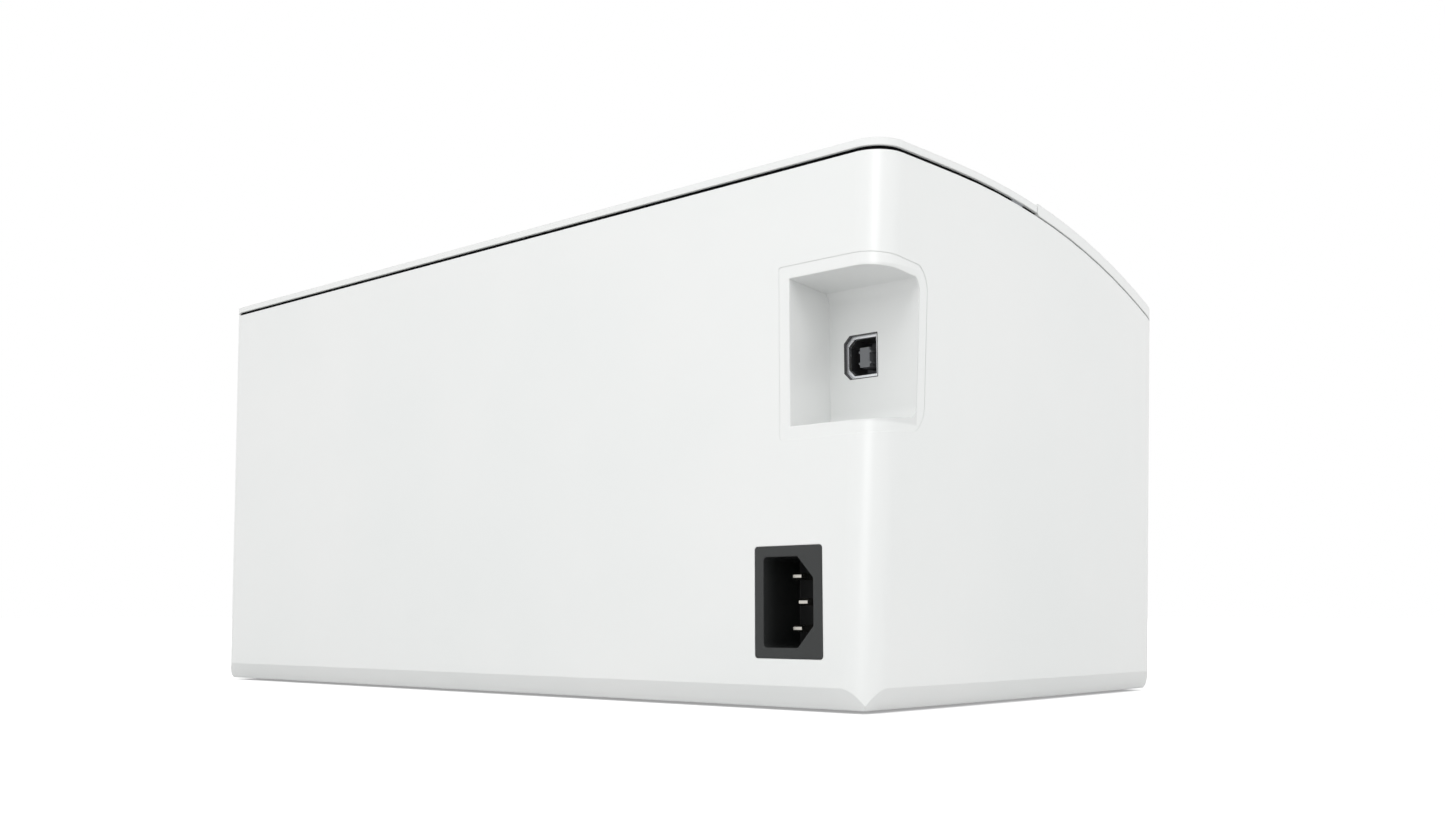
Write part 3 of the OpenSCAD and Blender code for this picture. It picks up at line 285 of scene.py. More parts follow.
@dataclass(frozen=True)
class PaintedShadePocket(Moulded):
    """Moulded plastic with painted shade in one pocket: its colour is darkened there to stand for
    the shade of a recess.

    Attributes:
        low: Lower corner of the pocket.
        high: Upper corner of the pocket.
        fade: Depth over which the tone changes, along X, Y and Z.
        tone: Share of the colour's brightness that the painted shade in the pocket keeps.
    """

    low: Point = (0, 0, 0)
    high: Point = (0, 0, 0)
    fade: Point = (1, 1, 1)
    tone: float = 0.9

    def build(self) -> bpy.types.Material:
        """Makes the plastic and paints shade into its pocket.

        Returns:
            The material.
        """
        material = super().build()
        tree = material.node_tree
        shader = next(node for node in tree.nodes if node.type == "BSDF_PRINCIPLED")
        # painted shade: inside the box from low to high the base colour is scaled down to tone,
        # fading in over fade
        low, high, fade = (Vector(sizes) * MM for sizes in (self.low, self.high, self.fade))
        place = add_node(tree, "TexCoord").outputs["Object"]
        above = add_node(tree, "VectorMath", {"operation": "SUBTRACT", 1: low}, {0: place})
        below = add_node(tree, "VectorMath", {"operation": "SUBTRACT", 0: high}, {1: place})
        within = add_node(tree, "VectorMath", {"operation": "MINIMUM"}, {0: above, 1: below})
        depth = add_node(tree, "VectorMath", {"operation": "DIVIDE", 1: fade}, {0: within})
        sides = add_node(tree, "SeparateXYZ", {}, {0: depth}).outputs
        least = sides[0]
        for side in sides[1:]:
            least = add_node(tree, "Math", {"operation": "MINIMUM"}, {0: least, 1: side})
        share = add_node(tree, "MapRange", {"To Min": 1.0, "To Max": self.tone}, {0: least})
        colour = shader.inputs["Base Color"]
        shaded_colour = add_node(tree, "VectorMath", {"operation": "SCALE"},
                         {0: colour.links[0].from_socket, "Scale": share})
        tree.links.new(shaded_colour.outputs[0], colour)
        return material


@dataclass(frozen=True)
class Metal(Finish):
    """Sheet, strip or bar, its look set by how its face is made.

    Attributes:
        coat: Zinc plate, which is cloudy, or a ground, rolled or turned face, which is not.
        around: The axis that its fine lines run round.
    """

    metallic: float = 1.0
    depth: float = 0.003
    coat: Coat = Coat.ZINC
    around: Axis = Axis.X

    def mottle(self) -> Pattern:
        """Gives pale blotches on zinc, and the lines themselves on a ground face."""
        cloud = Pattern("Voronoi", 2.2, {}, (0.1, 0.8), 0.08)
        return cloud if self.coat is Coat.ZINC else self.relief()

    def relief(self) -> Pattern:
        """Gives the fine lines of rolling or grinding."""
        return Pattern("Noise", self.around.split(0.12, 9), {"Detail": 3.0}, (0.3, 0.7), 0.09)


@dataclass(frozen=True)
class CastRubber(Finish):
    """Rubber, ground or moulded: a dull, slightly dusty skin with no clear highlight.

    Attributes:
        grit: Size of its grit.
    """

    depth: float = 0.02
    grit: float = 0.15
    skin = {"Sheen Weight": 0.12}

    def mottle(self) -> Pattern:
        """Gives the grit."""
        return Pattern("Noise", self.grit, {"Detail": 4.0})


@dataclass(frozen=True)
class CircuitBoard(Finish):
    """Circuit board: lanes of another shade where copper tracks run under its skin.

    Attributes:
        across: The axis square to the board, so that tracks run in its plane.
    """

    depth: float = 0.03
    across: Axis = Axis.X

    def mottle(self) -> Pattern:
        """Gives the lanes.

        Returns:
            A pattern of lanes about 1.5 mm wide, in the plane of the board.
        """
        quarter = math.pi / 2
        turn = {Axis.X: (0, quarter, 0), Axis.Y: (quarter, 0, 0), Axis.Z: (0, 0, 0)}[self.across]
        return Pattern("Brick", 14, {
            "Mortar Size": 0.03, "Mortar Smooth": 0.1, "Brick Width": 0.9, "Row Height": 0.11,
            "Color1": (1, 1, 1, 1), "Color2": (0.8, 0.8, 0.8, 1), "Mortar": (0, 0, 0, 1)},
            (0.2, 0.9), 0.05, turn)


@dataclass(frozen=True)
class Extruded(Finish):
    """Aluminium extrusion: soft lines from the die along X, and a bright satin face."""

    metallic: float = 1.0

    def mottle(self) -> Pattern:
        """Gives the die lines, 0.4 mm apart."""
        return Pattern("Noise", (40, 0.4, 0.4), {"Detail": 2.0}, (0.3, 0.7), 0.07)


@dataclass(frozen=True)
class Glazed(Finish):
    """A glassy or lacquered skin: smooth, with a clear coat and faint ripples under it."""

    depth: float = 0.02
    skin = {"Coat Weight": 0.6, "Coat Roughness": 0.08}

    def mottle(self) -> Pattern:
        """Gives the ripples."""
        return Pattern("Noise", 5, {"Detail": 2.0})


@dataclass(frozen=True)
class Wound(Finish):
    """Enamelled copper wire laid side by side: fine shining ribs half a wire deep.

    Attributes:
        wire: Diameter of the wire.
    """

    metallic: float = 1.0
    depth: float = 0.25
    wire: float = 0.5

    def mottle(self) -> Pattern:
        """Gives the turns, one band for each; a band is pi / 10 of the pattern's unit."""
        return Pattern("Wave", self.wire / 0.314, {"bands_direction": "Z", "Distortion": 0.4},
                       (0.2, 0.8))


@dataclass(frozen=True)
class LightPipe(Finish):
    """Clear moulded plastic with a frosted face: it takes in its surroundings and stays pale."""

    skin = {"Transmission Weight": 0.7}

    def mottle(self) -> Pattern:
        """Gives the frost."""
        return Pattern("Noise", 0.2)


@dataclass
class FinishSet:
    """All finishes of the printer, each made once."""

    # white ABS, spark-eroded: a soft satin white that shows no grain from arm's length, with
    # painted shade that darkens its colour inside the USB recess
    casing: Finish = PaintedShadePocket(
        "white_abs_spark_eroded_painted_recess_shade", "E9EAE9", "E6E8E7", 0.34, ior=1.52, edge=0.45, tone=0.9,
        low=(-164, 65.2, 75), high=(-125, 83.9, 117.5), fade=(1, 0.5, 0.7))
    # black ABS, satin mould: deep black with a grey bloom where light grazes it
    frame: Finish = Moulded("black_abs_satin", "121214", "161618", 0.45)
    # black ABS, deeply textured mould: swallows light in the gaps, hardly any gloss
    deep: Finish = Moulded("black_abs_deep_texture", "08080A", "0B0B0D", 0.9, ior=1.15, depth=0.03)
    # glass-filled PBT, moulded: charcoal, slightly mottled and dull, with painted shade that
    # darkens its colour inside the recess
    inlet: Finish = PaintedShadePocket(
        "charcoal_pbt_moulded_painted_inner_shade", "2E3030", "2B2D2D", 0.5, grain=0.5, depth=0.02, edge=0.4,
        tone=0.4, low=(-1000, 0, -1000), high=(1000, 83.7, 1000), fade=(5, 5, 5))
    # grey LCP, moulded: flat mid grey
    insulator: Finish = Moulded("grey_lcp_moulded", "77797C", "6F7174", 0.5)
    # dark grey ABS, moulded: even, with a slightly soft gloss
    key: Finish = Moulded("dark_grey_abs_moulded", "5A5D61", "55585C", 0.38, edge=0.45)
    # mid grey ABS, moulded: even satin
    holder: Finish = Moulded("mid_grey_abs_moulded", "8E9196", "898C91", 0.4)
    # natural acetal, moulded: milky, with a waxy sheen
    acetal: Finish = Moulded("natural_acetal_moulded", "EDEAE0", "E6E2D6", 0.32, depth=0.006)
    # oil-filled polymer, moulded: near black and waxy
    bush: Finish = Moulded("oiled_polymer_moulded", "2A2A2B", "303032", 0.35)
    # epoxy chip body, moulded: grey-black with a fine matt tooth
    epoxy: Finish = Moulded("black_epoxy_moulded", "232426", "2B2C2E", 0.55, grain=0.2)
    # ferrite, pressed and fired: charcoal, with a coarse dull skin
    ferrite: Finish = Moulded("pressed_ferrite", "3A3A3D", "333336", 0.62, grain=0.6, depth=0.03)
    # sheet steel, zinc-plated: cool pale grey, cloudy
    zinc: Finish = Metal("zinc_plated_steel_sheet", "C9CDD1", "B4B9BE", 0.36)
    # steel bar, ground: bright, with fine rings round it
    ground: Finish = Metal("ground_steel_bar", "D3D5D8", "BFC2C6", 0.24, coat=Coat.GROUND)
    # spring steel strip, rolled and tempered: darker and bluish
    spring: Finish = Metal("tempered_spring_steel", "A9AEB6", "8F959E", 0.3, coat=Coat.GROUND,
                           around=Axis.Y)
    # sheet steel, tinned: white-grey, a soft mirror
    tinned: Finish = Metal("tinned_steel_shell", "F0F2F4", "E4E6E9", 0.4, coat=Coat.GROUND,
                           around=Axis.Y)
    # brass, nickel-plated: warm silver
    nickel: Finish = Metal("nickel_plated_brass", "DAD7D0", "C9C5BC", 0.22, coat=Coat.GROUND,
                           around=Axis.Z)
    # phosphor bronze, gold-flashed: rich yellow, bright
    gold: Finish = Metal("gold_flashed_bronze", "E0B860", "C99B3F", 0.25, coat=Coat.GROUND,
                         around=Axis.Y)
    # brass, hobbed: yellow, with fine turning rings
    brass: Finish = Metal("hobbed_brass", "D8B56A", "C39C4E", 0.28, coat=Coat.GROUND)
    # silicone rubber, ground: charcoal, with an even velvet skin
    silicone: Finish = CastRubber("ground_silicone_rubber", "2C2D30", "333437", 0.72)
    # rubber, moulded: near black and dusty, with a coarser grit
    foot: Finish = CastRubber("moulded_foot_rubber", "202022", "29292B", 0.8, grit=0.3)
    # glass-epoxy board, solder-masked: deep green with paler lanes over the tracks
    board_x: Finish = CircuitBoard("solder_mask_board_upright", "0E5A34", "1B7A48", 0.32)
    board_y: Finish = CircuitBoard("solder_mask_board_front", "0E5A34", "1B7A48", 0.32,
                                   across=Axis.Y)
    # paper laminate board, pressed: tan, with browner lanes over the tracks
    board_z: Finish = CircuitBoard("paper_laminate_board", "B08A4A", "A27C3E", 0.5,
                                   across=Axis.Z)
    # aluminium, extruded: bright satin with lines along the bar
    extruded: Finish = Extruded("extruded_aluminium", "D4D6D9", "C4C7CB", 0.34)
    # alumina, glazed: cream, with a glassy face
    ceramic: Finish = Glazed("glazed_alumina", "E9E4D4", "E1DBC8", 0.2)
    # steel can, black lacquer: smooth and wet-looking
    lacquer: Finish = Glazed("black_lacquered_steel", "26262A", "2E2E33", 0.3)
    # polyester sleeve, shrunk on: dark blue, taut and glossy
    sleeve: Finish = Glazed("blue_polyester_sleeve", "26365E", "2B3D69", 0.3)
    # polyester ribbon, laminated: white and glossy
    ribbon: Finish = Glazed("laminated_polyester_ribbon", "E6E8EA", "DADDE0", 0.35)
    # polyester tape, wound: clear yellow
    tape: Finish = Glazed("yellow_polyester_tape", "E2C04A", "D8B43E", 0.3)
    # PVC, extruded over the wire: black, with a soft gloss
    lead: Finish = Glazed("black_pvc_insulation", "2B2B2E", "323236", 0.4)
    # copper wire, enamelled and wound: reddish brown ribs
    copper: Finish = Wound("enamelled_copper_winding", "B8622E", "8E4620", 0.25)
    # polycarbonate, moulded: clear with a green tint and a frosted face
    clear: Finish = LightPipe("clear_polycarbonate_pipe", "DCE8E2", "D2E0DA", 0.15, ior=1.58)
    made: dict[str, bpy.types.Material] = field(default_factory=dict)

    def get(self, name: str) -> bpy.types.Material:
        """Gives a finish's material, making it the first time.

        Args:
            name: The field's name.

        Returns:
            The material.
        """
        if name not in self.made:
            self.made[name] = getattr(self, name).build()
        return self.made[name]


# -------------------------------------------------------------- mesh tools


def box(node: str) -> tuple[Vector, Vector]:
    """Gives the lowest and highest corners of a CAD node at rest, in millimetres."""
    low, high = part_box(node)
    return Vector(low) / MM, Vector(high) / MM


def add_rings(build: bmesh.types.BMesh, rings: Sequence[Sequence[Point]],
              closed: bool = False) -> None:
    """Adds a skin over rings of points, with a face over each end.

    Args:
        build: The bmesh.
        rings: Rings of as many points each, or of one point at a tip.
        closed: True to join the last ring to the first in place of the end faces.
    """
    rows = [[build.verts.new(spot) for spot in ring] for ring in rings]
    pairs = list(zip(rows, rows[1:])) + [(rows[-1], rows[0])] * closed
    for low, high in pairs:
        count = max(len(low), len(high))
        for i in range(count):
            j = (i + 1) % count
            corners = (low[i % len(low)], low[j % len(low)],
                       high[j % len(high)], high[i % len(high)])
            build.faces.new(tuple(dict.fromkeys(corners)))
    for row in () if closed else (rows[0][::-1], rows[-1]):
        if len(row) > 1:
            build.faces.new(row)


def add_box(build: bmesh.types.BMesh, low: Point, high: Point) -> None:
    """Adds a box between two corners."""
    middle, size = (Vector(low) + Vector(high)) / 2, Vector(high) - Vector(low)
    bmesh.ops.create_cube(build, size=1.0, matrix=Matrix.LocRotScale(middle, None, size))


def circle(radius: float, steps: int, height: float = 0.0) -> list[Vector]:
    """Gives the points of a circle round Z, or its one point where it has no radius."""
    return [Vector((radius * math.cos(TURN * i / steps), radius * math.sin(TURN * i / steps),
                    height)) for i in range(steps if radius else 1)]


def add_turned(build: bmesh.types.BMesh, start: Point, axis: Axis, profile: Sequence[Flat],
               back: bool = False, steps: int = 32, closed: bool = False) -> None:
    """Adds a turned form.

    Args:
        build: The bmesh.
        start: The middle of its first end.
        axis: The axis that it is turned round.
        profile: Radius and distance along the axis of each ring, from end to end.
        back: True to run towards the axis's negative end.
        steps: Points round each ring.
        closed: True for a hollow form, whose profile comes back to its start.
    """
    place = axis.stand(start, back)
    add_rings(build, [[place @ spot for spot in circle(radius, steps, height)]
                      for radius, height in profile], closed)


def add_prism(build: bmesh.types.BMesh, outline: Sequence[Flat], axis: Axis, start: float,
              end: float) -> None:
    """Adds an outline drawn out along an axis.

    Args:
        build: The bmesh.
        outline: Corners in the two other axes, in the order X, Y, Z.
        axis: The axis along which it is drawn out.
        start: Where it starts on that axis.
        end: Where it ends.
    """
    add_rings(build, [[axis.point(a, b, place) for a, b in outline] for place in (start, end)])


def add_tube(build: bmesh.types.BMesh, path: Sequence[Vector], radius: float,
             sides: int = 8) -> None:
    """Sweeps a round wire along a path.

    Args:
        build: The bmesh.
        path: Its points.
        radius: Radius of the wire.
        sides: Points round it.
    """
    rings, side = [], (path[1] - path[0]).orthogonal()
    for i, point in enumerate(path):
        ahead = (path[min(i + 1, len(path) - 1)] - path[max(i - 1, 0)]).normalized()
        side = (side - ahead * side.dot(ahead)).normalized()
        turn = Matrix((side, ahead.cross(side), ahead)).transposed()
        rings.append([point + turn @ spot for spot in circle(radius, sides)])
    add_rings(build, rings)


def curve_through(points: Sequence[Point], steps: int = 8) -> list[Vector]:
    """Draws a smooth line through points.

    Args:
        points: The points.
        steps: Stretches between two of them.

    Returns:
        The line's points.
    """
    spots, line = [Vector(point) for point in points], []
    for before, start, end, after in zip([spots[0], *spots], spots, spots[1:],
                                         [*spots[2:], spots[-1]]):
        for t in (step / steps for step in range(steps)):
            line.append(0.5 * (2 * start + (end - before) * t
                               + (2 * before - 5 * start + 4 * end - after) * t ** 2
                               + (3 * start - before - 3 * end + after) * t ** 3))
    return [*line, spots[-1]]


@dataclass
class Screw:
    """A pan-head screw with a cross recess.

    Attributes:
        at: Middle of the seat under its head.
        axis: The axis that it stands along.
        back: True when its head points to the axis's negative end.
        radius: Radius of the head.
        height: Height of the head.
    """

    at: Point
    axis: Axis = Axis.Z
    back: bool = False
    radius: float = 2.6
    height: float = 1.6

    def level(self, out: float) -> float:
        """Gives the height of its dome at a distance from its middle."""
        return self.height * (0.55 + 0.45 * math.sqrt(max(0.0, 1 - (out / self.radius) ** 2)))

    def add(self, build: bmesh.types.BMesh) -> None:
        """Adds the head: a rim, a dome, and a cross-shaped pit that narrows to its floor.

        Args:
            build: The bmesh.
        """
        slot, reach = self.radius * 0.16, self.radius * 0.6
        corners = ((reach, -slot), (reach, slot), (slot * 1.2, slot * 1.2))
        cross = [Matrix.Rotation(quarter * math.pi / 2, 4, "Z") @ Vector((x, y, 0))
                 for quarter in range(4) for x, y in corners]
        rim = [spot.normalized() * self.radius for spot in cross]
        rows = [rim]
        for share in (1.0, 0.86, 0.5, 0.0):
            ring = [inner.lerp(outer, share) for inner, outer in zip(cross, rim)]
            rows.append([Vector((*spot.xy, self.level(spot.length))) for spot in ring])
        rows.append([Vector((*spot.xy * 0.7, self.height * 0.45)) for spot in cross])
        place = self.axis.stand(self.at, self.back)
        add_rings(build, [[place @ spot for spot in row] for row in rows])


# ------------------------------------------------------------ sub-assemblies


@dataclass
class SubAssembly:
    """A group of the printer's nodes and the pieces added to them.

    Attributes:
        frame: The loaded frame.
        finishes: The finish set.
    """

    frame: dict
    finishes: FinishSet
    coats = {}  # finish of each of its CAD nodes

    def dress(self) -> None:
        """Gives each of the group's CAD nodes its finish."""
        for node, finish in self.coats.items():
            solid = self.frame["nodes"][node]
            solid.data.materials.clear()
            solid.data.materials.append(self.finishes.get(finish))
            LOG.info("dressed %s with %s", node, finish)

    def piece(self, name: str, build: bmesh.types.BMesh, finish: str, slot: str,
              bevel: float = 0.0, body: str = "chassis") -> None:
        """Makes one piece of the group, lets it ride on a body and reports it.

        Args:
            name: The piece's name.
            build: Its bmesh in millimetres, which is used up.
            finish: The finish's field name.
            slot: The record's material slot that it belongs to; not used.
            bevel: Width of its rounded edges.
            body: The body that it rides on.
        """
        build.transform(Matrix.Scale(MM, 4))
        bmesh.ops.recalc_face_normals(build, faces=build.faces[:])
        mesh = bpy.data.meshes.new(name)
        build.to_mesh(mesh)
        build.free()
        mesh.materials.append(self.finishes.get(finish))
        piece = bpy.data.objects.new(name, mesh)
        bpy.context.scene.collection.objects.link(piece)
        if bevel:
            edge = piece.modifiers.new("rounded_edges", "BEVEL")
            edge.width, edge.segments = bevel * MM, 2
            edge.limit_method, edge.angle_limit = "ANGLE", BEVEL_CREASE
        mesh.shade_smooth()
        mesh.set_sharp_from_angle(angle=PIECE_CREASE)
        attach(piece, body)
        LOG.info("built %s with %d faces", name, len(mesh.polygons))

    def build(self) -> None:
        """Makes the group's added pieces; a group with none leaves this as it is."""


@dataclass
class Casing(SubAssembly):
    """Housing, rear slab, front cover, keys and what shows between them.

    Attributes:
        ink: Thickness of the marks printed on the keys.
        arrow: Right half of the feed arrow, from its tail to its tip.
        ring: Outer and inner radius of the power mark's ring.
        gap: First and last angle of that ring in degrees, and the step between its points.
        bar: Half width, foot and top of the power mark's bar.
    """

    ink: float = 0.03
    arrow: Sequence[Flat] = ((0.5, 2.2), (0.5, -0.2), (1.8, -0.2), (0.0, -2.4))
    ring: Flat = (2.5, 1.9)
    gap: tuple[int, int, int] = (130, 411, 14)
    bar: Point = (0.3, 0.4, 3.0)
    coats = {
        "main_housing": "casing", "top_slab": "casing", "front_cover": "casing",
        "chassis_frame": "deep", "front_bezel": "frame", "tear_bar": "ground",
        "status_light": "clear", "feed_button": "key", "power_button": "key",
        "latch_button": "key"}

    def build(self) -> None:
        """Adds the printed marks on the keys: a feed arrow and a power ring with its bar."""
        low, high = box("feed_button")
        mid = (low + high) / 2
        outline = [*self.arrow, *((-a, b) for a, b in reversed(self.arrow[:-1]))]
        arrow = bmesh.new()
        add_prism(arrow, [(mid.x + a, mid.z + b) for a, b in outline], Axis.Y,
                  low.y - self.ink, low.y)
        self.piece("feed_mark", arrow, "acetal", "button_grey", body="feed_key")

        z = sum(corner.z for corner in box("power_button")) / 2
        turns = [math.radians(angle) for angle in range(*self.gap)]
        power = bmesh.new()
        add_prism(power, [(mid.x + radius * math.cos(turn), z + radius * math.sin(turn))
                          for radius, row in zip(self.ring, (turns, turns[::-1]))
                          for turn in row], Axis.Y, low.y - self.ink, low.y)
        half, foot, top = self.bar
        add_box(power, (mid.x - half, low.y - self.ink, z + foot), (mid.x + half, low.y, z + top))
        self.piece("power_mark", power, "acetal", "button_grey", body="power_key")


@dataclass
class RearSockets(SubAssembly):
    """Mains inlet and USB port.

    Attributes:
        cut: Size of the USB shell's two cut corners.
        inside: How far the dark sleeves start from the shell's front end.
        painted_shade_sleeves: Outer and inner inset of each dark sleeve from the shell's outside,
            and how far it stands past the shell's mouth. The sleeves are painted shade: one darkens
            the inside of the shell, the other draws a dark line round it in the recess.
        nub: Half width, length and half height of the bumps on the tongue.
        spread: Spacing of those bumps from the tongue's middle, across and up.
        tab: Distance from the mouth and height over the shell of a sprung tab's corners.
        tab_at: Where the tabs start, across from the shell's middle.
        tab_width: Width of a tab.
        leg_at: Distance of the board legs from the shell's middle, up and down.
        joint: Half the spacing of the solder joints along Y and Z.
        lead_r: Radius of the mains leads.
    """

    cut: float = 2.0
    inside: float = 7.5
    painted_shade_sleeves: Sequence[Point] = ((0.42, 0.85, -1.22), (-0.24, -0.02, 0.92))
    nub: Point = (0.5, 3.0, 0.32)
    spread: float = 1.6
    tab: Sequence[Flat] = ((3.2, 0), (9.5, 0), (9.5, 0.25), (5.0, 0.75), (3.2, 0.3))
    tab_at: Flat = (-2.6, 1.2)
    tab_width: float = 1.6
    leg_at: float = 5.6
    joint: Flat = (2.2, 1.25)
    lead_r: float = 1.1
    coats = {
        "power_inlet_body": "inlet", "power_inlet_pins": "nickel", "usb_shell": "tinned",
        "usb_tongue": "insulator", "usb_contacts": "gold"}

    def build(self) -> None:
        """Adds what belongs to the USB port and the mains inlet."""
        self.usb_side()
        self.inlet_side()

    def outline(self, inset: float, place: float) -> list[Point]:
        """Draws the USB shell's outline.

        Args:
            inset: How far inside the shell's outside it lies.
            place: Where it lies along Y.

        Returns:
            Its corners.
        """
        low, high = box("usb_shell")
        mid, half = (low + high) / 2, (high - low) / 2
        w, h, cut = half.x - inset, half.z - inset, self.cut
        return [(mid.x + a, place, mid.z + b) for a, b in (
            (-w, -h), (w - cut, -h), (w, -h + cut), (w, h - cut), (w - cut, h), (-w, h))]

    def usb_side(self) -> None:
        """Adds dark sleeves of painted shade in and round the USB shell, and its sprung tabs, board
        legs and solder joints.
        """
        low, high = box("usb_shell")
        mid = (low + high) / 2
        # painted shade: near-black sleeves inside the shell and round its mouth stand for the shade
        # there
        shade_sleeve = bmesh.new()
        for outer, inner, past in self.painted_shade_sleeves:
            start, end = low.y + self.inside, high.y + past
            add_rings(shade_sleeve, [self.outline(inset, place) for inset, place in (
                (outer, start), (outer, end), (inner, end), (inner, start))], closed=True)
        self.piece("usb_painted_shade_sleeve", shade_sleeve, "bush", "usb_insulator")

        tip = box("usb_tongue")[1].y
        width, length, height = self.nub
        bumps = bmesh.new()
        for across, up in product((-self.spread, self.spread), repeat=2):
            x, z = mid.x + across, mid.z + up
            add_box(bumps, (x - width, tip - length, z - height),
                    (x + width, tip - 0.02, z + height))
        self.piece("usb_tongue_bumps", bumps, "insulator", "usb_insulator", 0.1)

        tabs = bmesh.new()
        for side, face in ((-1, low.z), (1, high.z)):
            for x in (mid.x + across for across in self.tab_at):
                add_prism(tabs, [(high.y - a, face + side * b) for a, b in self.tab], Axis.X,
                          x, x + self.tab_width)
            leg = mid.z + side * self.leg_at
            add_box(tabs, (low.x - 3.0, low.y + 3.0, leg - 0.4),
                    (low.x + 0.2, low.y + 5.2, leg + 0.4))
        self.piece("usb_shell_tabs", tabs, "tinned", "usb_steel", 0.08)

        joints = bmesh.new()
        for row, leg in product((-1, 1), repeat=2):
            spot = (low.x - 1.5, low.y + 4 + leg * self.joint[0], mid.z + row * self.joint[1])
            add_turned(joints, spot, Axis.X, ((0.9, 0), (0.5, 0.5), (0, 1.1)), back=True,
                       steps=12)
        self.piece("usb_solder_joints", joints, "tinned", "usb_steel")

    def inlet_side(self) -> None:
        """Adds the three leads from the inlet's tags down to the power board."""
        low, high = box("power_inlet_pins")
        mid, rear = (low + high) / 2, box("power_inlet_body")[0].y
        leads = bmesh.new()
        for row in (-7, 0, 7):
            x, z = mid.x + (2 if row else -2), mid.z + row
            add_tube(leads, curve_through([
                (x, rear - 3, z), (x, rear - 9, z), (x + 3, rear - 13, z - 3),
                (x + 12, rear - 14, z * 0.5 + 8), (x + 20, rear - 14, 16),
                (x + 22, rear - 14, 12)]), self.lead_r)
        self.piece("inlet_leads", leads, "lead", "inlet_grey")


@dataclass
class Electronics(SubAssembly):
    """Boards, power parts and cable.

    Attributes:
        pitch: Spacing of a chip's legs.
        chips: First and last Y, then Z, of each chip on the main board.
        leg: A chip leg's corners, as height over the board and distance from the chip.
        rows: Rows of small parts on the main board, and how many stand in each.
        grid: First Y and Z of those parts, and their spacing along Y and Z.
        part: Height, length and width of a small part.
        clear: Distance that they keep from a chip.
        can: X, Y, radius and height of each capacitor.
        choke: X, Y and height over the board of the choke's middle.
        choke_ring: Radius of the choke's ring, and half the height and depth of its winding.
        choke_arc: How far round the ring its wire goes, in degrees.
        choke_wire: Turns of its wire, points in a turn, and radius of the wire.
        coil: Half width and half depth of the transformer's coil, its turns and their spacing.
        coil_wire: Radius of the coil's wire.
        sink_at: Where the transistors stand, as shares of the heat sink's width.
        pin: Spacing of their legs.
        lanes: Conductors in the ribbon.
    """

    pitch: float = 1.27
    chips: Sequence[tuple[int, int, int, int]] = (
        (4, 22, 60, 78), (-24, -12, 62, 72), (-24, -12, 44, 54))
    leg: Sequence[Flat] = ((0.7, 0), (0.7, 0.5), (0.15, 0.8), (0.15, 1.6), (0, 1.6), (0, 0.6),
                           (0.5, 0.3), (0.5, 0))
    rows: tuple[int, int] = (5, 9)
    grid: tuple[float, float, float, float] = (-62, 14, 12.5, 17)
    part: Point = (0.6, 2, 1.2)
    clear: float = 4.0
    can: Sequence[tuple[int, int, int, int]] = (
        (-86, 44, 11, 32), (-102, 26, 5, 20), (-102, 62, 5, 20), (-8, 24, 5, 18))
    choke: Point = (-74, 24, 8.4)
    choke_ring: Point = (6.0, 2.2, 2.6)
    choke_arc: float = 300.0
    choke_wire: tuple[int, int, float] = (26, 12, 0.32)
    coil: tuple[float, float, int, float] = (10.6, 16.4, 18, 0.8)
    coil_wire: float = 0.45
    sink_at: Flat = (0.25, 0.72)
    pin: float = 2.54
    lanes: int = 9
    coats = {
        "main_board": "board_x", "board_parts": "epoxy", "power_board": "board_z",
        "transformer": "ferrite", "heat_sink": "extruded", "filter_capacitors": "sleeve",
        "button_board": "board_y", "flat_cable": "ribbon", "media_sensor": "epoxy"}

    def build(self) -> None:
        """Adds what stands on the boards."""
        self.board_side()
        self.windings()
        self.power_side()
        self.cable_side()

    def board_side(self) -> None:
        """Adds chip legs, small parts and board screws to the main board."""
        low, high = box("main_board")
        face = high.x
        legs = bmesh.new()
        for y0, y1, z0, z1 in self.chips:
            count = int((y1 - y0) / self.pitch) - 1
            for i, (edge, out) in product(range(count), ((z0, -1), (z1, 1))):
                y = (y0 + y1) / 2 + (i - (count - 1) / 2) * self.pitch
                add_prism(legs, [(face + a, edge + out * b) for a, b in self.leg], Axis.Y,
                          y - 0.2, y + 0.2)
        self.piece("chip_legs", legs, "tinned", "usb_steel")

        parts, ends = bmesh.new(), bmesh.new()
        first_y, first_z, step_y, step_z = self.grid
        (tall, long, wide), gap = self.part, self.clear
        for row, column in product(*map(range, self.rows)):
            y, z = first_y + step_y * column + 2 * (row % 2), first_z + step_z * row
            if z >= high.z - 6 or any(y0 - gap < y < y1 + gap and z0 - gap < z < z1 + gap
                                      for y0, y1, z0, z1 in self.chips):
                continue
            add_box(parts, (face, y, z), (face + tall, y + long, z + wide))
            for end in (y - 0.35, y + long - 0.05):
                add_box(ends, (face, end, z - 0.02),
                        (face + tall + 0.04, end + 0.4, z + wide + 0.02))
        self.piece("chip_resistors", parts, "epoxy", "chip_black", 0.08)
        self.piece("chip_resistor_ends", ends, "tinned", "usb_steel")

        heads = bmesh.new()
        for y, z in product((low.y + 8, -10, high.y - 12), (22, 108)):
            Screw((face, y, z), Axis.X, radius=2.4, height=1.4).add(heads)
        self.piece("board_screws", heads, "zinc", "screw_steel")

    def windings(self) -> None:
        """Adds the transformer's coil, and the choke with its core."""
        low, high = box("transformer")
        mid, top = (low + high) / 2, box("power_board")[1].z
        half, depth, turns, pitch = self.coil
        corners = ((-1, -0.8), (-0.8, -1), (0.8, -1), (1, -0.8), (1, 0.8), (0.8, 1), (-0.8, 1),
                   (-1, 0.8), (-1, -0.8))
        coil = bmesh.new()
        for i in range(turns):
            add_tube(coil, [Vector((mid.x + half * a, mid.y + depth * b, top + 6 + i * pitch))
                            for a, b in corners], self.coil_wire, 6)
        self.piece("transformer_coil", coil, "tape", "transformer_tape")

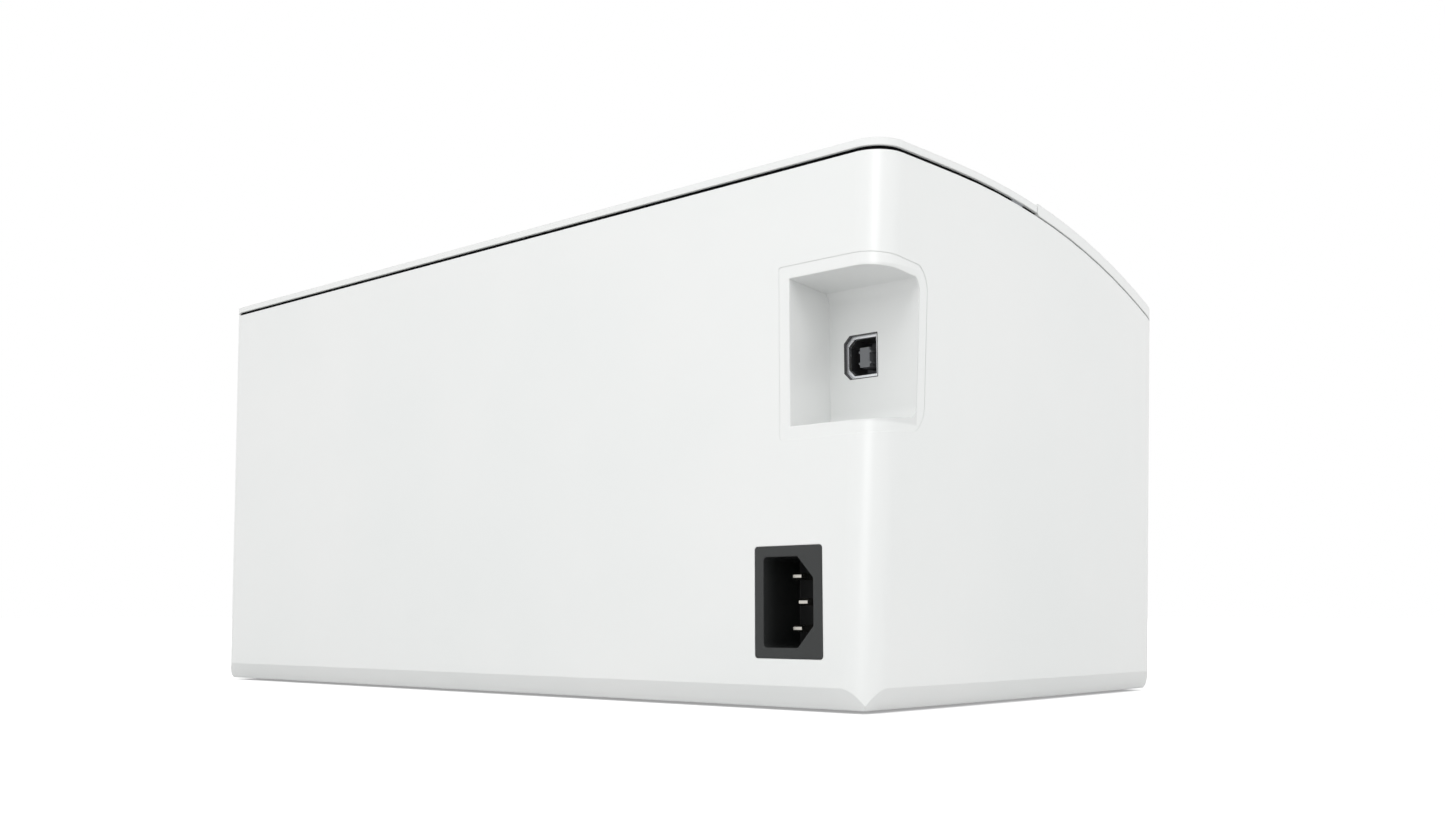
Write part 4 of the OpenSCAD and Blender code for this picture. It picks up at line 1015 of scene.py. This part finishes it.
        x, y, z = self.choke
        turns, steps, wire = self.choke_wire
        radius, tall, deep = self.choke_ring
        path = []
        for i in range(turns * steps + 1):
            ring, wind = math.radians(self.choke_arc) * i / (turns * steps), TURN * i / steps
            out = radius + tall * math.cos(wind)
            path.append(Vector((x + out * math.cos(ring), y + deep * math.sin(wind),
                                top + z + out * math.sin(ring))))
        winding, core = bmesh.new(), bmesh.new()
        add_tube(winding, path, wire, 6)
        add_turned(core, (x, y - 1.8, top + z), Axis.Y,
                   ((4.3, 0), (7.7, 0), (7.7, 3.6), (4.3, 3.6)), steps=36, closed=True)
        self.piece("choke_winding", winding, "copper", "gold")
        self.piece("choke_core", core, "ferrite", "chip_black", 0.3)

    def power_side(self) -> None:
        """Adds transistors, pins, capacitor tops and board screws to the power board."""
        low, high = box("power_board")
        top = high.z
        sink_low, sink_high = box("heat_sink")
        back = sink_low.y
        bodies, legs = bmesh.new(), bmesh.new()
        for share in self.sink_at:
            x = sink_low.x + (sink_high.x - sink_low.x) * share
            add_box(bodies, (x - 5, back - 4.4, top + 9), (x + 5, back, top + 24))
            for leg in (x - self.pin, x, x + self.pin):
                add_box(legs, (leg - 0.4, back - 2.8, top), (leg + 0.4, back - 2.2, top + 9))
        coil_low, coil_high = box("transformer")
        for i, y in product(range(6), (coil_low.y + 1, coil_high.y - 1)):
            add_turned(legs, (coil_low.x + 5 + 5 * i, y, top), Axis.Z, ((0.5, 0), (0.5, 4)),
                       steps=8)
        self.piece("power_transistors", bodies, "epoxy", "chip_black", 0.3)
        self.piece("power_part_legs", legs, "tinned", "usb_steel")

        tops = bmesh.new()
        for x, y, r, h in self.can:
            add_turned(tops, (x, y, top + h), Axis.Z, (
                (r - 0.1, 0), (r - 0.1, 0.25), (r - 0.8, 0.3), (r - 1.1, 0.05), (0, 0.05)),
                steps=40)
            for turn in range(3):
                score = Matrix.Translation((x, y, top + h + 0.08)) @ Matrix.Rotation(
                    turn * math.pi / 3, 4, "Z") @ Matrix.Diagonal((r * 1.3, 0.35, 0.12, 1))
                bmesh.ops.create_cube(tops, size=1.0, matrix=score)
        self.piece("capacitor_tops", tops, "extruded", "aluminium")

        heads = bmesh.new()
        for x, y in product((low.x + 5, high.x - 5), (low.y + 5, high.y - 5)):
            Screw((x, y, top)).add(heads)
        self.piece("power_board_screws", heads, "zinc", "screw_steel")

    def cable_side(self) -> None:
        """Adds the ribbon's conductors and its connector."""
        low, high = box("flat_cable")
        wires, socket = bmesh.new(), bmesh.new()
        for i in range(self.lanes):
            y = low.y + (i + 0.5) * (high.y - low.y) / self.lanes
            add_box(wires, (low.x + 2, y - 0.14, low.z + 0.48),
                    (high.x - 0.6, y + 0.14, low.z + 0.56))
        add_box(socket, (low.x - 1, low.y - 1.2, low.z - 1), (low.x + 3, high.y + 1.2, low.z + 2.2))
        self.piece("cable_conductors", wires, "copper", "gold")
        self.piece("cable_socket", socket, "acetal", "acetal", 0.2)


@dataclass
class PrintMechanism(SubAssembly):
    """Side frames, head, platen and the feed gears.

    Attributes:
        bell: Half width of the motor's end bell, half its flat side, and its thickness.
        bolt: Distance of the motor's bolts from its middle, along Y and Z.
        bars: Y and Z of the tie bars.
        clip: Radius of the clips on the head shaft and on the tie bars.
    """

    bell: Point = (16.9, 12.9, 2.2)
    bolt: float = 13.0
    bars: Sequence[Flat] = ((-73, 84), (-72, 60))
    clip: Flat = (3.6, 3.1)
    coats = {
        "side_frame_left": "zinc", "side_frame_right": "zinc", "tie_bars": "ground",
        "frame_screws": "zinc", "stepper_motor": "lacquer", "motor_bracket": "zinc",
        "idler_post": "ground", "head_shaft": "ground", "head_springs": "spring",
        "platen_shaft": "ground", "platen_rubber": "silicone", "platen_bearings": "bush",
        "platen_gear": "acetal", "idler_gear": "acetal", "motor_pinion": "brass",
        "print_head": "extruded", "thermal_plate": "ceramic", "head_arms": "zinc",
        "latch_hooks": "key", "latch_pins": "ground"}

    def build(self) -> None:
        """Adds the small parts of the mechanism."""
        self.head_side()
        self.motor_side()
        self.frame_side()

    def head_side(self) -> None:
        """Adds the heater line and the cover over the head's drivers."""
        low, high = box("thermal_plate")
        y, top = sum(corner.y for corner in box("platen_rubber")) / 2, high.z
        heater, drivers = bmesh.new(), bmesh.new()
        add_prism(heater, ((y - 0.6, top), (y + 0.6, top), (y + 0.3, top + 0.04),
                           (y - 0.3, top + 0.04)), Axis.X, low.x + 2, high.x - 2)
        add_box(drivers, (low.x + 3, y + 2.6, top - 0.2), (high.x - 3, high.y - 0.2, top + 0.03))
        self.piece("heater_line", heater, "epoxy", "ceramic", body="head")
        self.piece("driver_cover", drivers, "epoxy", "ceramic", 0.05, "head")

    def motor_side(self) -> None:
        """Adds the motor's end bell, its bolts and its four leads."""
        low, high = box("stepper_motor")
        mid = (low + high) / 2
        half, flat, thick = self.bell
        end = high.x + thick
        bell, bolts, leads = bmesh.new(), bmesh.new(), bmesh.new()
        add_prism(bell, [(mid.y + a, mid.z + b) for a, b in (
            (-flat, -half), (flat, -half), (half, -flat), (half, flat), (flat, half),
            (-flat, half), (-half, flat), (-half, -flat))], Axis.X, high.x, end)
        add_turned(bell, (end, mid.y, mid.z), Axis.X, ((6, 0), (6, 0.6), (0, 0.6)))
        for a, b in product((-self.bolt, self.bolt), repeat=2):
            Screw((end, mid.y + a, mid.z + b), Axis.X, radius=2.0, height=1.2).add(bolts)
        for i in range(4):
            x, y = low.x + 8 + 1.6 * i, high.y
            add_tube(leads, curve_through([
                (x, y - 1, mid.z - 8), (x, y + 3, mid.z - 9), (x, y + 8, mid.z - 20),
                (x, y + 10, 30), (x - 6, y + 12, 6), (x - 20, y + 16, 4.4)]), 0.7)
        self.piece("motor_end_bell", bell, "extruded", "aluminium", 0.3)
        self.piece("motor_bolts", bolts, "zinc", "screw_steel")
        self.piece("motor_leads", leads, "lead", "chip_black")

    def frame_side(self) -> None:
        """Adds spring clips on the shaft ends and crosses in the frame's screws."""
        shaft, bars = box("head_shaft"), box("tie_bars")
        mid = (shaft[0] + shaft[1]) / 2
        clips, heads = bmesh.new(), bmesh.new()
        for (left, right), radius, spots in ((shaft, self.clip[0], (mid.yz,)),
                                             (bars, self.clip[1], self.bars)):
            for (y, z), (x, back) in product(spots, ((left.x, True), (right.x, False))):
                add_turned(clips, (x, y, z), Axis.X, (
                    (radius, 0), (radius, 0.6), (radius * 0.35, 0.6), (radius * 0.35, 0.9),
                    (0, 0.9)), back, 24)
        low, high = box("frame_screws")
        for x, y in product((low.x + 2.6, high.x - 2.6), (low.y + 2.6, high.y - 2.6)):
            Screw((x, y, high.z - 0.2), radius=2.55, height=1.0).add(heads)
        self.piece("shaft_clips", clips, "spring", "spring_steel")
        self.piece("frame_screw_heads", heads, "zinc", "screw_steel")


@dataclass
class CoverFrame(SubAssembly):
    """The cover's under-frame and its hinge.

    Attributes:
        screws: Y and Z of the screws through each ear.
    """

    screws: Sequence[Flat] = ((-50, 122), (-38, 128))
    coats = {"cover_inner_frame": "frame", "hinge_brackets": "holder", "hinge_pins": "ground"}

    def build(self) -> None:
        """Adds the screws that hold the platen's ears to the cover."""
        low, high = box("platen_bearings")
        heads = bmesh.new()
        for (x, back), (y, z) in product(((low.x, True), (high.x, False)), self.screws):
            Screw((x, y, z), Axis.X, back, 2.2, 1.2).add(heads)
        self.piece("ear_screws", heads, "zinc", "screw_steel", body="cover")


@dataclass
class RollBay(SubAssembly):
    """Roll bay with its two holders.

    Attributes:
        tick: Spacing of the width scale's marks.
        top: Height of their upper ends.
        tall: Length of a mark at every tenth, second and other place.
        hub: Y and Z of the holders' middle.
        rib: Radius of the circle that the grip ribs stand on.
    """

    tick: float = 5.0
    top: float = 118.0
    tall: Point = (7, 5, 3)
    hub: Flat = (-28.5, 68)
    rib: float = 24.8
    coats = {
        "roll_bay": "frame", "guide_rail": "zinc", "roll_holder_left": "holder",
        "roll_holder_right": "holder", "roll_hub_left": "frame", "roll_hub_right": "frame",
        "holder_pinion": "acetal", "pinion_pin": "ground"}

    def build(self) -> None:
        """Adds the width scale inside the bay's rear wall and grip ribs on the holders."""
        wall = box("roll_bay")[1].y - 2.0
        rail_low, rail_high = box("guide_rail")
        count = int((rail_high.x - rail_low.x) / 2 / self.tick)
        scale = bmesh.new()
        for i in range(-count + 1, count):
            x = (rail_low.x + rail_high.x) / 2 + i * self.tick
            tall = self.tall[0 if i % 10 == 0 else 1 if i % 2 == 0 else 2]
            add_box(scale, (x - 0.2, wall - 0.06, self.top - tall), (x + 0.2, wall + 0.1, self.top))
        self.piece("width_scale", scale, "acetal", "frame_black")

        for side, end, inward in (("left", 0, 1), ("right", 1, -1)):
            face = box(f"roll_holder_{side}")[end].x + inward * 2.4
            ribs = bmesh.new()
            for turn in (math.radians(60 + 15 * i) for i in range(5)):
                spot = (face, self.hub[0] + self.rib * math.cos(turn),
                        self.hub[1] + self.rib * math.sin(turn))
                add_turned(ribs, spot, Axis.X, ((0.8, 0), (0.8, 0.7), (0.4, 1), (0, 1)),
                           inward < 0, 12)
            self.piece(f"grip_ribs_{side}", ribs, "holder", "holder_grey", body=f"holder_{side}")


@dataclass
class Underside(SubAssembly):
    """Base plate, its screws and the feet."""

    coats = {"base_plate": "zinc", "base_screws": "zinc", "rubber_feet": "foot"}


# ------------------------------------------------------------------ studio


@dataclass
class Studio:
    """Floor, light and camera, in metres.

    Attributes:
        housing: The node that takes the highlight.
        eye: Where the camera stands.
        ahead: The way it looks.
        lens: Its focal length in millimetres, on a 36 mm sensor.
        footprint: Half the object's width and depth, round which the floor's painted shadow lies.
        fade: Distances from the footprint's edge where the floor's glow starts and ends to grow.
        glow: How much the floor glows for the camera under the object, where the lower glow is a
            painted shadow, and away from it.
        horizon: How strongly the surround lights the object from the sides.
        zenith: How strongly it lights it from above.
    """

    housing: bpy.types.Object
    eye: Point = (-0.3692, 0.3790, 0.0249)
    ahead: Point = (0.6547, -0.7414, 0.1475)
    lens: float = 35.0
    footprint: Flat = (0.154, 0.0795)
    fade: Flat = (-0.003, 0.005)
    glow: Flat = (0.33, 0.5)
    horizon: float = 1.35
    zenith: float = 0.78

    def stand(self, thing: bpy.types.Object, at: Point, ahead: Vector) -> None:
        """Puts a camera or lamp in the scene.

        Args:
            thing: The camera or lamp.
            at: Where it goes.
            ahead: The way that it faces.
        """
        thing.location = at
        thing.rotation_euler = ahead.to_track_quat("-Z", "Y").to_euler()
        bpy.context.scene.collection.objects.link(thing)

    def camera(self) -> None:
        """Places the camera."""
        data = bpy.data.cameras.new("camera")
        data.lens, data.sensor_width, data.clip_start = self.lens, 36.0, 0.01
        camera = bpy.data.objects.new("camera", data)
        self.stand(camera, self.eye, Vector(self.ahead))
        bpy.context.scene.camera = camera

    def floor(self) -> None:
        """Lays a pale floor that shows white to the camera and keeps the object's shadow, with a
        painted shadow where its glow drops under and round the object.
        """
        mesh = bpy.data.meshes.new("floor")
        build = bmesh.new()
        bmesh.ops.create_grid(build, x_segments=1, y_segments=1, size=12.0)
        build.to_mesh(mesh)
        build.free()
        floor = bpy.data.objects.new("floor", mesh)
        bpy.context.scene.collection.objects.link(floor)
        material = bpy.data.materials.new("floor_white_paper_painted_contact_shadow")
        material.use_nodes = True
        tree = material.node_tree
        tree.nodes.clear()
        paper = add_node(tree, "BsdfDiffuse", {"Color": linear("DDDDDD")})
        # painted shadow: distance outside the object's footprint, over which the camera's floor
        # glow drops to a darker level under the object
        place = add_node(tree, "TexCoord").outputs["Object"]
        axes = add_node(tree, "SeparateXYZ", {}, {0: place}).outputs
        past = []
        for axis, half in zip(axes, self.footprint):
            size = add_node(tree, "Math", {"operation": "ABSOLUTE"}, {0: axis})
            past.append(add_node(tree, "Math", {"operation": "SUBTRACT", 1: half}, {0: size}))
        edge = add_node(tree, "Math", {"operation": "MAXIMUM"}, {0: past[0], 1: past[1]})
        level = add_node(tree, "MapRange", {
            "From Min": self.fade[0], "From Max": self.fade[1], "To Min": self.glow[0],
            "To Max": self.glow[1]}, {0: edge})
        lift = add_node(tree, "Emission", {"Color": (1, 1, 1, 1)}, {"Strength": level})
        seen = add_node(tree, "LightPath").outputs["Is Camera Ray"]
        both = add_node(tree, "AddShader", {}, {0: paper, 1: lift})
        shown = add_node(tree, "MixShader", {}, {0: seen, 1: paper, 2: both})
        add_node(tree, "OutputMaterial", {}, {"Surface": shown})
        mesh.materials.append(material)

    def world(self) -> None:
        """Sets a soft surround, white where the camera, gloss or clear plastic sees it."""
        world = bpy.data.worlds.new("studio")
        bpy.context.scene.world = world
        world.use_nodes = True
        tree = world.node_tree
        tree.nodes.clear()
        rays = add_node(tree, "LightPath").outputs
        seen = rays["Is Camera Ray"]
        for kind in ("Is Glossy Ray", "Is Transmission Ray"):
            seen = add_node(tree, "Math", {"operation": "MAXIMUM"}, {0: seen, 1: rays[kind]})
        place = add_node(tree, "TexCoord").outputs["Generated"]
        way = add_node(tree, "SeparateXYZ", {}, {0: place})
        level = add_node(tree, "MapRange", {
            "To Min": self.horizon, "To Max": self.zenith}, {0: way.outputs[2]})
        light = add_node(tree, "Background", {"Color": (1, 1, 1, 1)}, {"Strength": level})
        white = add_node(tree, "Background", {"Color": (1, 1, 1, 1), "Strength": 1.0})
        mixed = add_node(tree, "MixShader", {}, {0: seen, 1: light, 2: white})
        add_node(tree, "OutputWorld", {}, {"Surface": mixed})

    def lamp(self, name: str, at: Point, aim: Point, size: Flat, power: float,
             gloss: bool) -> None:
        """Hangs one large soft lamp.

        Args:
            name: The lamp's name.
            at: Where it hangs.
            aim: What it points at.
            size: Its width and height.
            power: Its power in watts.
            gloss: Whether it only makes highlights, on the housing; if not, it makes none.
        """
        data = bpy.data.lights.new(name, "AREA")
        data.shape, data.energy = "RECTANGLE", power
        data.size, data.size_y = size
        lamp = bpy.data.objects.new(name, data)
        lamp.visible_glossy, lamp.visible_diffuse = gloss, not gloss
        if gloss:
            group = bpy.data.collections.new(name)
            group.objects.link(self.housing)
            lamp.light_linking.receiver_collection = group
        self.stand(lamp, at, Vector(aim) - Vector(at))

    def build(self) -> None:
        """Sets up the whole studio."""
        bpy.context.scene.view_settings.view_transform = "Standard"
        self.camera()
        self.floor()
        self.world()
        self.lamp("key", (-0.34, 0.37, 0.58), (-0.15, 0.08, 0.08), (0.3, 0.3), 1.0, gloss=False)
        self.lamp("strip", (-0.98, 1.06, 0.4), (-0.12, 0.06, 0.08), (0.5, 0.9), 5.0, gloss=True)


def smooth_solids(frame: dict) -> None:
    """Shades the frame's curved faces smooth and keeps its edges crisp.

    Args:
        frame: The loaded frame.
    """
    for solid in frame["nodes"].values():
        solid.data.shade_smooth()
        solid.data.set_sharp_from_angle(angle=SOLID_CREASE)


def main() -> None:
    """Builds and dresses the printer, in order."""
    logging.basicConfig(level=logging.INFO, format="%(message)s")
    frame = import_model()
    Studio(frame["nodes"]["main_housing"]).build()
    finishes = FinishSet()
    smooth_solids(frame)
    for group in (Casing, RearSockets, Electronics, PrintMechanism, CoverFrame, RollBay, Underside):
        part = group(frame, finishes)
        part.dress()
        part.build()
        LOG.info("finished %s", group.__name__)


if __name__ == "__main__":
    main()
